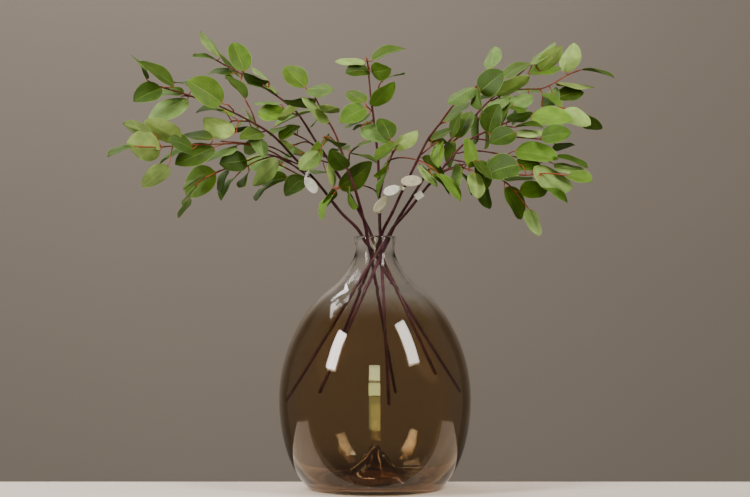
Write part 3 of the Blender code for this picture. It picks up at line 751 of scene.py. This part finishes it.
class Skin:
    """Corners and faces of a piece made of many parts, with what its shaders read."""

    def __init__(self):
        self.corners = []
        self.faces = []
        self.finish = []
        self.tint = []
        self.place = []

    def add(self, corners, faces, finish, tints, places):
        base = len(self.corners)
        self.corners += corners
        self.faces += [tuple(base + i for i in face) for face in faces]
        self.finish += [finish] * len(faces)
        self.tint += tints
        self.place += places

    def piece(self, name, body, slot, finishes):
        made = add_mesh(name, self.corners, self.faces, body, finishes)
        mesh = made.data
        mesh.polygons.foreach_set("material_index", self.finish)
        for label, values in (("tint", self.tint), ("place", self.place)):
            attribute = mesh.attributes.new(label, "FLOAT_VECTOR", "POINT")
            attribute.data.foreach_set("vector", [x for value in values for x in value])
        return made


# ---- tubes: trunks, twigs and petioles ----


def rings_along(course, radii, sides):
    """A ring of corners round each point of the course, carried along without twist."""
    rings = []
    side = (course[1] - course[0]).orthogonal().normalized()
    for i, (point, radius) in enumerate(zip(course, radii)):
        along = (course[min(i + 1, len(course) - 1)] - course[max(i - 1, 0)]).normalized()
        side = (side - along * side.dot(along)).normalized()
        up = along.cross(side)
        turns = [2 * math.pi * k / sides for k in range(sides)]
        rings.append([point + (side * math.cos(a) + up * math.sin(a)) * radius for a in turns])
    return rings


def fine_course(course, radii):
    """The course cut into short even steps on a smooth curve, with its radii."""
    points = []
    widths = []
    outer = padded(course)
    for i in range(len(course) - 1):
        a, b, c, d = outer[i:i + 4]
        length = (c - b).length
        # A long straight run keeps its line: its ends don't pull on it.
        a = b - (b - a).normalized() * min((b - a).length, length)
        d = c + (d - c).normalized() * min((d - c).length, length)
        if length > STRAIGHT_RUN:
            a = b * 2 - c
            d = c * 2 - b
        steps = max(1, round(length / LIMB_STEP))
        for step in range(steps):
            t = step / steps
            points.append(spline(a, b, c, d, t))
            widths.append(blend(radii[i], radii[i + 1], t))
    return points + [course[-1]], widths + [radii[-1]]


def knotted(radii, spacing, swell, first):
    """The radii with a small swelling at every leaf scar."""
    made = []
    for i, radius in enumerate(radii):
        off = ((i * LIMB_STEP + first) / spacing) % 1
        off = min(off, 1 - off) * spacing
        made.append(radius * (1 + swell * math.exp(-((off / SCAR_LENGTH) ** 2))))
    return made


def add_tube(skin, course, radii, sides, finish, redness):
    """A closed tube whose shader place holds its redness from the first to the last ring."""
    corners, faces = stack(rings_along(course, radii, sides))
    shares = [i / (len(course) - 1) for i in range(len(course)) for _ in range(sides)]
    places = [(blend(*redness, share), share, 0) for share in shares]
    skin.add(corners, faces, finish, [(0, 0, 0)] * len(corners), places)


def build_trunk(stem, trunk):
    points, radii = fine_course(trunk.course, trunk.radii)
    drawn_in = [min(1, i / 8, (len(points) - 1 - i) / 8) for i in range(len(points))]
    points = [
        point + sway(point, WOBBLE_LENGTH, stem * 5.1) * TRUNK_WOBBLE * keep
        for point, keep in zip(points, drawn_in)
    ]
    radii = knotted(radii, *TRUNK_KNOTS, stem * 7)
    radii[0] *= 0.86
    radii[-1] *= 0.6
    skin = Skin()
    add_tube(skin, points, radii, LIMB_SIDES, 0, (0.0, 0.55))
    piece = skin.piece(f"trunk_{stem}", f"stem_{stem}", "bark", [bark()])
    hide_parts(f"stem_{stem}")


def bent_petiole(leaf, twig, index):
    """From inside the twig, leaving along it, to the blade's base, arriving in line with it."""
    reach = (leaf.base - leaf.root).length
    away = (leaf.base - leaf.root).normalized()
    leaving = (twig.tangent(index) * 0.5 + away).normalized()
    a = leaf.root
    d = leaf.base + leaf.along * 1.5
    b = a + leaving * reach * 0.36
    c = leaf.base - leaf.along * reach * 0.36
    return [bezier(a, b, c, d, step / STALK_STEPS) for step in range(STALK_STEPS + 1)]


def build_twig(name, stem, trunk, twig, leaves):
    root = trunk.course[trunk.nearest(on_drawing(twig.course[0]))]
    points, radii = fine_course([root] + twig.course, [twig.radii[0] * 1.25] + twig.radii)
    radii = knotted(radii, *TWIG_KNOTS, 5)
    radii[-1] *= 0.5
    skin = Skin()
    add_tube(skin, points, radii, TWIG_SIDES, 0, (0.35, 0.85))
    for leaf in leaves:
        index = min(range(len(twig.course)), key=lambda i: (twig.course[i] - leaf.root).length)
        petiole = bent_petiole(leaf, twig, index)
        widths = tapered(petiole, *STALK_RADII)
        widths[0] = STALK_RADII[0] * 1.5
        add_tube(skin, petiole, widths, STALK_SIDES, 0, (0.8, 1.0))
    piece = skin.piece(f"twig_{name}", f"stem_{stem}", "bark", [bark()])
    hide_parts(name)


# ---- leaf blades ----


class Blade:
    """The finer form of one leaf: folded along its midrib, wavy at the edges, a little bent."""

    def __init__(self, leaf, tone_and_light, draw):
        self.leaf = leaf
        front_is_upper = tone_and_light in UPPER_TONES
        normal_is_front = leaf.normal.y < 0
        self.lift = 1 if front_is_upper == normal_is_front else -1
        # The tone gives the leaf's own colour together with painted shade or painted light.
        upper_tone = tone_and_light if front_is_upper else OTHER_SIDE[tone_and_light]
        under_tone = OTHER_SIDE[tone_and_light] if front_is_upper else tone_and_light
        shade = 1 + draw.uniform(-TINT_SPREAD, TINT_SPREAD)
        warm = draw.uniform(-WARMTH_SPREAD, WARMTH_SPREAD)
        self.tints = [
            tuple(c * shade * (1 + w) for c, w in zip(TINTS[t], (warm, 0, -warm)))
            for t in (upper_tone, under_tone)
        ]
        self.fold = math.radians(draw.uniform(*FOLD_ANGLES))
        self.phase = draw.random()
        self.bend = draw.uniform(-1, 1) * SIDE_BEND
        self.seed = draw.random()
        self.twist = math.radians(draw.uniform(-TWIST, TWIST))

    def surface(self, s, u):
        """The point of the middle sheet at s along the blade and u across it."""
        leaf = self.leaf
        half = max(leaf.width / 2 * blade_width(s), PETIOLE_RADIUS)
        middle = leaf.centre(s) + leaf.side * (self.bend * 4 * s * (1 - s))
        turn = self.twist * (s - 0.5)
        side = leaf.side * math.cos(turn) + leaf.normal * math.sin(turn)
        wave = math.sin(2 * math.pi * (1.4 * s + self.phase)) * u * abs(u) * EDGE_WAVE
        dip = math.sin(2 * math.pi * (0.9 * s + self.seed)) * u * u * EDGE_WAVE * 0.6
        rise = self.lift * math.sin(self.fold) * half * abs(u) + (wave + dip) * min(1, 4 * s)
        return middle + side * (u * half * math.cos(self.fold)) + leaf.normal * rise

    def sheet(self, upper):
        """Corners, tints and places of the upper or of the lower skin."""
        corners = []
        places = []
        for row in range(BLADE_ROWS + 1):
            s = (row / BLADE_ROWS) ** 1.15
            for u in BLADE_COLUMNS:
                thick = BLADE_THICKNESS / 2 * (1 - 0.6 * abs(u))
                if not upper and u == 0:
                    thick += RIB_HEIGHT * (1 - s)
                if upper and u == 0:
                    thick -= 0.1
                out = self.leaf.normal * self.lift * (thick if upper else -thick)
                corners.append(self.surface(s, u) + out)
                places.append((s, u, self.seed))
        return corners, places

    def add_to(self, skin):
        columns = len(BLADE_COLUMNS)
        for upper in (True, False):
            corners, places = self.sheet(upper)
            faces = []
            for row in range(BLADE_ROWS):
                for k in range(columns - 1):
                    a = row * columns + k
                    face = (a, a + 1, a + columns + 1, a + columns)
                    faces.append(face if upper == (self.lift > 0) else face[::-1])
            tint = self.tints[0 if upper else 1]
            skin.add(corners, faces, 0 if upper else 1, [tint] * len(corners), places)
        self.close_edges(skin)

    def close_edges(self, skin):
        """Faces between the two skins, all round the blade."""
        columns = len(BLADE_COLUMNS)
        count = (BLADE_ROWS + 1) * columns
        under = len(skin.corners) - count
        upper = under - count
        last = BLADE_ROWS * columns
        left = [row * columns for row in range(BLADE_ROWS + 1)]
        right = [i + columns - 1 for i in left]
        loop = left[::-1] + list(range(1, columns)) + right[1:] + list(range(last, count - 1))[::-1]
        for a, b in zip(loop, loop[1:]):
            face = (upper + a, upper + b, under + b, under + a)
            skin.faces.append(face if self.lift > 0 else face[::-1])
            skin.finish.append(1)


def build_leaves(name, stem, leaves, tones_and_light, draw):
    skin = Skin()
    for leaf, tone_and_light in zip(leaves, tones_and_light):
        Blade(leaf, tone_and_light, draw).add_to(skin)
    finishes = [leaf_side(*side) for side in LEAF_SIDES]
    piece = skin.piece(f"leaves_{name}", f"stem_{stem}", "leaf", finishes)
    piece.data.set_sharp_from_angle(angle=math.radians(LEAF_EDGE_ANGLE))
    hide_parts(name)


# ---- vase ----


def build_vase():
    profile = vase_profile()
    inner_points = (GLASS_WALL_STEPS * (len(INNER_WALL) - 1)
                    + GLASS_PUNT_STEPS * (len(PUNT_TOP) - 1) + 1)
    corners = []
    for number, point in enumerate(profile):
        for k in range(GLASS_LATHE_STEPS):
            turn = 2 * math.pi * k / GLASS_LATHE_STEPS
            spot = Vector((point.x * math.cos(turn), point.x * math.sin(turn), point.y))
            if 0 < number < inner_points - EVEN_RINGS and point.x > 1:
                out = Vector((math.cos(turn), math.sin(turn), 0))
                size = GLASS_WAVE * (spot.z / WAVE_HEIGHT) ** 2
                spot += out * size * noise.noise(spot / WAVE_LENGTH)
            corners.append(spot)
    faces = []
    for ring_number in range(len(profile) - 1):
        for k in range(GLASS_LATHE_STEPS):
            n = (k + 1) % GLASS_LATHE_STEPS
            a = ring_number * GLASS_LATHE_STEPS
            b = a + GLASS_LATHE_STEPS
            faces.append((a + k, b + k, b + n, a + n))
    finishes = [smoked_glass(f"smoked_glass_{bending}", bending) for bending in BENDING]
    vase = add_mesh("vase_body", corners, faces, "vase", finishes)
    for face in vase.data.polygons:
        face.material_index = sum(face.center.z > height for height in BENDING_CHANGES)
    weld = vase.modifiers.new("weld", "WELD")
    weld.merge_threshold = 0.00001
    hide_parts("vase_glass")


# ---- paper labels ----


def label_frame(trunk, place):
    """Middle and axes of a label: its place on the drawing, just in front of its trunk."""
    centre, front, tilt, length, width = place
    near = trunk.nearest(centre)
    middle = drawn(*centre, trunk.course[near].y - front)
    turn = math.radians(tilt)
    along = Vector((math.cos(turn), 0, math.sin(turn)))
    across = Vector((-math.sin(turn), 0, math.cos(turn)))
    return middle, along, across


def trunk_point(trunk, target):
    """The nearest point of the trunk's centre line to the target, its radius and tangent."""
    points, radii = fine_course(trunk.course, trunk.radii)
    i = min(range(1, len(points) - 1), key=lambda k: (points[k] - target).length)
    return points[i], radii[i], (points[i + 1] - points[i - 1]).normalized()


def build_label(name, stem, trunk, place, round_corners, shade):
    """A paper flag whose neck runs back to the trunk and is wrapped round it."""
    middle, along, across = label_frame(trunk, place)
    _, _, _, length, width = place
    curl = random.Random(name).uniform(0.8, 1.8)
    front = Vector((0, -1, 0))
    corners = [middle]
    for level in range(1, LABEL_RINGS + 1):
        share = level / LABEL_RINGS
        for k in range(LABEL_TURNS):
            a = 2 * math.pi * k / LABEL_TURNS
            x, y = math.cos(a), math.sin(a)
            if not round_corners:
                grow_to = 1 / max(abs(x), abs(y))
                x, y = x * grow_to, y * grow_to
            x, y = x * share, y * share
            lift = curl * (x * x - 0.5) + 0.5 * math.sin(2.2 * y + 1.5 * x)
            corners.append(middle + along * (x * length / 2) + across * (y * width / 2)
                           + front * lift)
    faces = [(0, 1 + k, 1 + (k + 1) % LABEL_TURNS) for k in range(LABEL_TURNS)]
    for a in range(1, 1 + (LABEL_RINGS - 1) * LABEL_TURNS, LABEL_TURNS):
        b = a + LABEL_TURNS
        for k in range(LABEL_TURNS):
            n = (k + 1) % LABEL_TURNS
            faces.append((a + k, b + k, b + n, a + n))
    plate = add_mesh(name + "_flag", corners, faces, f"stem_{stem}", [paper(shade)])
    thicken(plate)
    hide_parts(name)
    build_label_neck(name, stem, trunk, place, shade)


def build_label_neck(name, stem, trunk, place, shade):
    """A strip from the end of the label that is nearer its trunk, and once round the trunk."""
    middle, along, across = label_frame(trunk, place)
    _, _, _, length, width = place
    ends = [(middle + out * length / 2 * NECK_START, out) for out in (along, -along)]
    start, out = min(ends, key=lambda end: (trunk_point(trunk, end[0])[0] - end[0]).length)
    spot, radius, run = trunk_point(trunk, start)
    radius += NECK_GAP
    face_on = (start - spot) - run * (start - spot).dot(run)
    face_on.normalize()
    beside = run.cross(face_on)
    course = []
    entry = spot + face_on * radius
    reach = (entry - start).length
    b = start + out * reach * 0.4
    c = entry + face_on * reach * 0.3
    for step in range(NECK_STEPS):
        t = step / NECK_STEPS
        course.append((bezier(start, b, c, entry, t), blend(across, run, t).normalized()))
    for k in range(WRAP_STEPS + 1):
        a = 2 * math.pi * k / WRAP_STEPS
        outward = face_on * math.cos(a) + beside * math.sin(a)
        course.append((spot + outward * (radius + WRAP_RISE * k), run))
    half = min(width * NECK_WIDTH, MAX_NECK_WIDTH) / 2
    band = []
    for point, wide in course:
        band += [point - wide * half, point + wide * half]
    strips = [(2 * i, 2 * i + 1, 2 * i + 3, 2 * i + 2) for i in range(len(course) - 1)]
    neck = add_mesh(name + "_neck", band, strips, f"stem_{stem}", [paper(shade)])
    thicken(neck)


def thicken(sheet):
    solid = sheet.modifiers.new("thickness", "SOLIDIFY")
    solid.thickness = PAPER_THICKNESS * MM
    solid.offset = 0


# ---- materials ----


class Nodes:
    """A material's node tree, with short calls for the nodes that the finishes use."""

    def __init__(self, name):
        self.material = bpy.data.materials.new(name)
        self.material.use_nodes = True
        self.tree = self.material.node_tree
        self.shader = self.tree.nodes["Principled BSDF"]
        self.output = self.tree.nodes["Material Output"]

    def new(self, kind, **settings):
        node = self.tree.nodes.new("ShaderNode" + kind)
        for key, value in settings.items():
            setattr(node, key, value)
        return node

    def link(self, source, target):
        self.tree.links.new(source, target)

    def put(self, socket, value):
        if isinstance(value, bpy.types.NodeSocket):
            self.link(value, socket)
        else:
            socket.default_value = value

    def maths(self, operation, *values):
        node = self.new("Math", operation=operation)
        for socket, value in zip(node.inputs, values):
            self.put(socket, value)
        return node.outputs[0]

    def times(self, a, b):
        return self.maths("MULTIPLY", a, b)

    def plus(self, a, b):
        return self.maths("ADD", a, b)

    def minus(self, a, b):
        return self.maths("SUBTRACT", a, b)

    def split(self, vector):
        node = self.new("SeparateXYZ")
        self.link(vector, node.inputs[0])
        return node.outputs

    def spread(self, value, low, high, to_low=0.0, to_high=1.0):
        """The value mapped from one range to another, held at its ends."""
        node = self.new("MapRange", interpolation_type="SMOOTHSTEP")
        for socket, number in zip(node.inputs, (value, low, high, to_low, to_high)):
            self.put(socket, number)
        return node.outputs[0]

    def mix(self, share, a, b, way="MIX"):
        node = self.new("Mix", data_type="RGBA", blend_type=way)
        for index, value in ((0, share), (6, a), (7, b)):
            if isinstance(value, tuple):
                value = (*value, 1)
            self.put(node.inputs[index], value)
        return node.outputs[2]

    def noise(self, where, scale, detail=3.0, roughness=0.5):
        node = self.new("TexNoise")
        self.put(node.inputs["Vector"], where)
        for key, value in (("Scale", scale), ("Detail", detail), ("Roughness", roughness)):
            node.inputs[key].default_value = value
        return node.outputs[0]

    def attribute(self, name):
        return self.new("Attribute", attribute_name=name).outputs["Vector"]

    def object_place(self):
        return self.new("TexCoord").outputs["Object"]

    def bump(self, height, distance, strength=1.0):
        node = self.new("Bump")
        self.put(node.inputs["Height"], height)
        node.inputs["Distance"].default_value = distance
        node.inputs["Strength"].default_value = strength
        self.link(node.outputs[0], self.shader.inputs["Normal"])

    def finish(self, **values):
        for key, value in values.items():
            socket = self.shader.inputs[key.replace("_", " ")]
            if isinstance(value, tuple):
                value = (*value, 1)
            self.put(socket, value)
        return self.material


def once(make):
    """Each finish is made the first time it's asked for."""
    made = {}

    def get(*key):
        if key not in made:
            made[key] = make(*key)
        return made[key]

    return get


@once
def leaf_side(name, vein_share, vein_colour, rib_share, vein_relief, roughness):
    """One side of the leaves: midrib, side veins, mottling and a pale rim.

    The relief is its way (-1 where the veins are sunk), its depth and its strength.
    """
    n = Nodes(name)
    s, u, seed = n.split(n.attribute("place"))
    across = n.maths("ABSOLUTE", u)
    offset = n.new("CombineXYZ")
    n.link(n.times(seed, 7.0), offset.inputs[2])
    n.link(s, offset.inputs[0])
    n.link(n.times(u, 0.4), offset.inputs[1])
    mottle = n.noise(offset.outputs[0], 3.2, 4.0, 0.55)
    fine = n.noise(n.object_place(), 900.0, 3.0, 0.6)
    tint = n.attribute("tint")
    shade = n.spread(mottle, 0.3, 0.7, 0.80, 1.18)
    shade = n.times(shade, n.spread(fine, 0.3, 0.7, 0.96, 1.04))
    scaled = n.new("VectorMath", operation="SCALE")
    n.link(tint, scaled.inputs[0])
    n.link(shade, scaled.inputs["Scale"])
    wobble = n.times(n.minus(mottle, 0.5), 0.10)
    course = n.minus(n.plus(s, wobble), n.times(across, 0.30))
    phase = n.maths("FRACT", n.times(course, 9.0))
    crest = n.maths("ABSOLUTE", n.minus(phase, 0.5))
    vein = n.spread(crest, 0.07, 0.0)
    vein = n.times(vein, n.spread(across, 0.95, 0.35))
    rib = n.spread(across, n.plus(n.times(s, -0.045), 0.07), 0.0)
    rim = n.spread(across, 0.93, 1.0)
    colour = n.mix(n.times(vein, vein_share), scaled.outputs[0], vein_colour)
    colour = n.mix(n.times(rib, rib_share), colour, vein_colour)
    colour = n.mix(n.times(rim, 0.5), colour, (0.34, 0.48, 0.12))
    # A reddish flush where the petiole joins.
    colour = n.mix(n.spread(s, 0.10, 0.0, 0.0, 0.35), colour, (0.30, 0.14, 0.04))
    height = n.plus(n.times(vein, 0.4), n.times(fine, 0.25))
    way, depth, strength = vein_relief
    n.bump(n.times(height, way), depth, strength)
    roughness = n.spread(mottle, 0.3, 0.7, *roughness)
    return n.finish(Base_Color=colour, Roughness=roughness, Specular_IOR_Level=0.2)


@once
def bark():
    n = Nodes("bark")
    redness = n.split(n.attribute("place"))[0]
    where = n.object_place()
    patches = n.noise(where, 70.0, 3.0, 0.6)
    grain = n.noise(where, 700.0, 4.0, 0.65)
    base = n.mix(n.spread(redness, 0.3, 0.95), (0.034, 0.006, 0.013), (0.25, 0.050, 0.016))
    bright = n.mix(n.spread(redness, 0.3, 0.95), (0.075, 0.014, 0.026), (0.40, 0.11, 0.034))
    colour = n.mix(n.spread(patches, 0.35, 0.65), base, bright)
    colour = n.mix(n.spread(grain, 0.55, 0.75, 0.0, 0.35), colour, (0.12, 0.045, 0.045))
    n.bump(grain, 0.0006, 0.6)
    return n.finish(
        Base_Color=colour, Roughness=n.spread(grain, 0.3, 0.7, 0.45, 0.65), Specular_IOR_Level=0.22
    )


@once
def paper(shade):
    n = Nodes("paper_" + shade)
    where = n.object_place()
    fibres = n.noise(where, 1400.0, 5.0, 0.7)
    stains = n.noise(where, 120.0, 2.0, 0.5)
    light = PAPER_COLOURS[shade]
    dark = tuple(c * 0.82 for c in light)
    colour = n.mix(n.spread(stains, 0.35, 0.65), light, dark)
    colour = n.mix(n.spread(fibres, 0.5, 0.8, 0.0, 0.25), colour, (0.45, 0.38, 0.30))
    n.bump(fibres, 0.0002, 0.5)
    return n.finish(Base_Color=colour, Roughness=0.85, Specular_IOR_Level=0.25)


@once
def smoked_glass(name, bending):
    """Clear at the neck, smoke brown below, deeper where the wall is seen edge-on."""
    n = Nodes(name)
    where = n.new("NewGeometry").outputs["Position"]
    x, y, z = n.split(where)
    drift = n.times(n.minus(n.noise(where, 9.0, 2.0), 0.5), SMOKE_DRIFT)
    height = n.plus(z, drift)
    clear = n.spread(height, SMOKED_BELOW, CLEAR_ABOVE)
    facing = n.new("LayerWeight")
    facing.inputs[0].default_value = 0.5
    edge = n.maths("POWER", facing.outputs["Facing"], 3.5)
    low = n.spread(height, *BASE_GLASS)
    radius = n.maths("SQRT", n.plus(n.times(x, x), n.times(y, y)))
    punt = n.times(n.spread(radius, *PUNT_GLASS), n.spread(height, 0.12, 0.08))
    body = n.mix(low, BODY_COLOUR, BASE_COLOUR)
    body = n.mix(punt, body, PUNT_COLOUR)
    smoke = n.mix(edge, body, EDGE_COLOUR)
    colour = n.mix(clear, smoke, NECK_COLOUR)
    n.finish(Base_Color=colour, Roughness=0.0, IOR=bending, Transmission_Weight=1.0)
    through = n.new("BsdfTransparent")
    shaded = n.mix(1.0, colour, SHADOW_LIGHT, "MULTIPLY")
    n.link(shaded, through.inputs[0])
    either = n.new("MixShader")
    n.link(n.new("LightPath").outputs["Is Shadow Ray"], either.inputs[0])
    n.link(n.shader.outputs[0], either.inputs[1])
    n.link(through.outputs[0], either.inputs[2])
    n.link(either.outputs[0], n.output.inputs[0])
    return n.material


def table_top():
    n = Nodes("table_top")
    where = n.object_place()
    stretch = n.new("Mapping")
    n.link(where, stretch.inputs[0])
    stretch.inputs["Scale"].default_value = (2.0, 30.0, 30.0)
    grain = n.noise(stretch.outputs[0], 3.0, 5.0, 0.6)
    colour = n.mix(n.spread(grain, 0.3, 0.7), (0.83, 0.715, 0.63), (0.89, 0.785, 0.71))
    n.bump(grain, 0.0002, 0.3)
    return n.finish(Base_Color=colour, Roughness=0.55, Specular_IOR_Level=0.3)


def wall_paint():
    n = Nodes("wall_paint")
    where = n.object_place()
    drift = n.noise(where, 0.5, 2.0, 0.5)
    n.finish(Base_Color=n.mix(drift, (0.26, 0.22, 0.185), (0.30, 0.255, 0.215)), Roughness=0.9)
    return n.material


# ---- stage ----

TABLE_BACK = 0.097
TABLE_SIZE = (1.3, 0.217, 0.04)
WALL_DISTANCE = 6.5
WALL_SIZE = (16, 0.1, 9)
WALL_MIDDLE = 0.4


def slab(name, size, place, finish, bevel=0.0):
    bpy.ops.mesh.primitive_cube_add(size=1, location=place)
    made = bpy.context.object
    made.name = name
    made.scale = size
    bpy.ops.object.transform_apply(location=False, rotation=False, scale=True)
    made.data.materials.append(finish)
    if bevel:
        round_edges = made.modifiers.new("round_edges", "BEVEL")
        round_edges.width = bevel
        round_edges.segments = 4


def build_stage():
    _, depth, thick = TABLE_SIZE
    slab("table", TABLE_SIZE, (0, TABLE_BACK - depth / 2, -thick / 2), table_top(), 0.003)
    slab("wall", WALL_SIZE, (0, WALL_DISTANCE, WALL_MIDDLE), wall_paint())


def area_light(name, place, target, size, power, colour):
    light = bpy.data.lights.new(name, "AREA")
    light.shape = "RECTANGLE"
    light.size, light.size_y = size
    light.energy = power
    light.color = colour
    made = bpy.data.objects.new(name, light)
    bpy.context.scene.collection.objects.link(made)
    made.location = place
    made.rotation_euler = (Vector(target) - Vector(place)).to_track_quat("-Z", "Y").to_euler()


def build_lights():
    aim = (0, 0, 0.3)
    soft = (1.0, 0.965, 0.945)
    area_light("window_left", (-1.95, -1.25, 1.68), aim, (0.60, 1.3), 75, soft)
    area_light("window_right", (1.56, -1.22, 1.84), aim, (0.62, 1.45), 50, soft)
    area_light("high_left", (-1.37, 0.42, 2.17), aim, (0.85, 0.75), 14, soft)
    area_light("far_window_upper", (-0.05, -4.2, 1.74), aim, (0.98, 0.90), 30, (0.86, 0.93, 0.45))
    area_light("far_window_lower", (-0.05, -4.2, 0.78), aim, (0.98, 0.72), 20, (0.84, 0.92, 0.38))
    area_light("far_window_sill", (-0.05, -4.2, -0.45), aim, (0.95, 1.65), 9, (0.8, 0.86, 0.25))
    on_wall = (-0.5, WALL_DISTANCE, 0.8)
    area_light("wall_wash", (-1.5, 3.0, 4.5), on_wall, (3, 2), 252, (1, 0.955, 0.94))
    world = bpy.data.worlds.new("studio")
    bpy.context.scene.world = world
    world.use_nodes = True
    sky = world.node_tree.nodes["Background"]
    sky.inputs[0].default_value = (0.26, 0.24, 0.22, 1)
    sky.inputs[1].default_value = 0.6


def build_camera():
    lens = bpy.data.cameras.new("camera")
    lens.lens = 100
    lens.sensor_width = 36
    camera = bpy.data.objects.new("camera", lens)
    bpy.context.scene.collection.objects.link(camera)
    camera.location = (0, -EYE_DISTANCE * MM, EYE_HEIGHT * MM)
    camera.rotation_euler = (math.radians(90), 0, 0)
    bpy.context.scene.camera = camera


def main():
    trunks, twigs, leaves = grow()
    build_vase()
    for stem, trunk in trunks.items():
        build_trunk(stem, trunk)
        draw = random.Random(stem)
        for number, tones_and_light in enumerate(TONES_AND_PAINTED_LIGHT[stem], 1):
            name = f"sprig_{stem}_{number}"
            build_twig(name, stem, trunk, twigs[name], leaves[name])
            build_leaves(name, stem, leaves[name], tones_and_light, draw)
    for name, (stem, *place) in TAGS.items():
        shade = "cream" if name in CREAM_TAGS else "white"
        build_label(name, stem, trunks[stem], place, True, shade)
    build_label(f"label_{LABEL_STEM}", LABEL_STEM, trunks[LABEL_STEM], LABEL, False, "white")
    build_stage()
    build_lights()
    build_camera()


main()
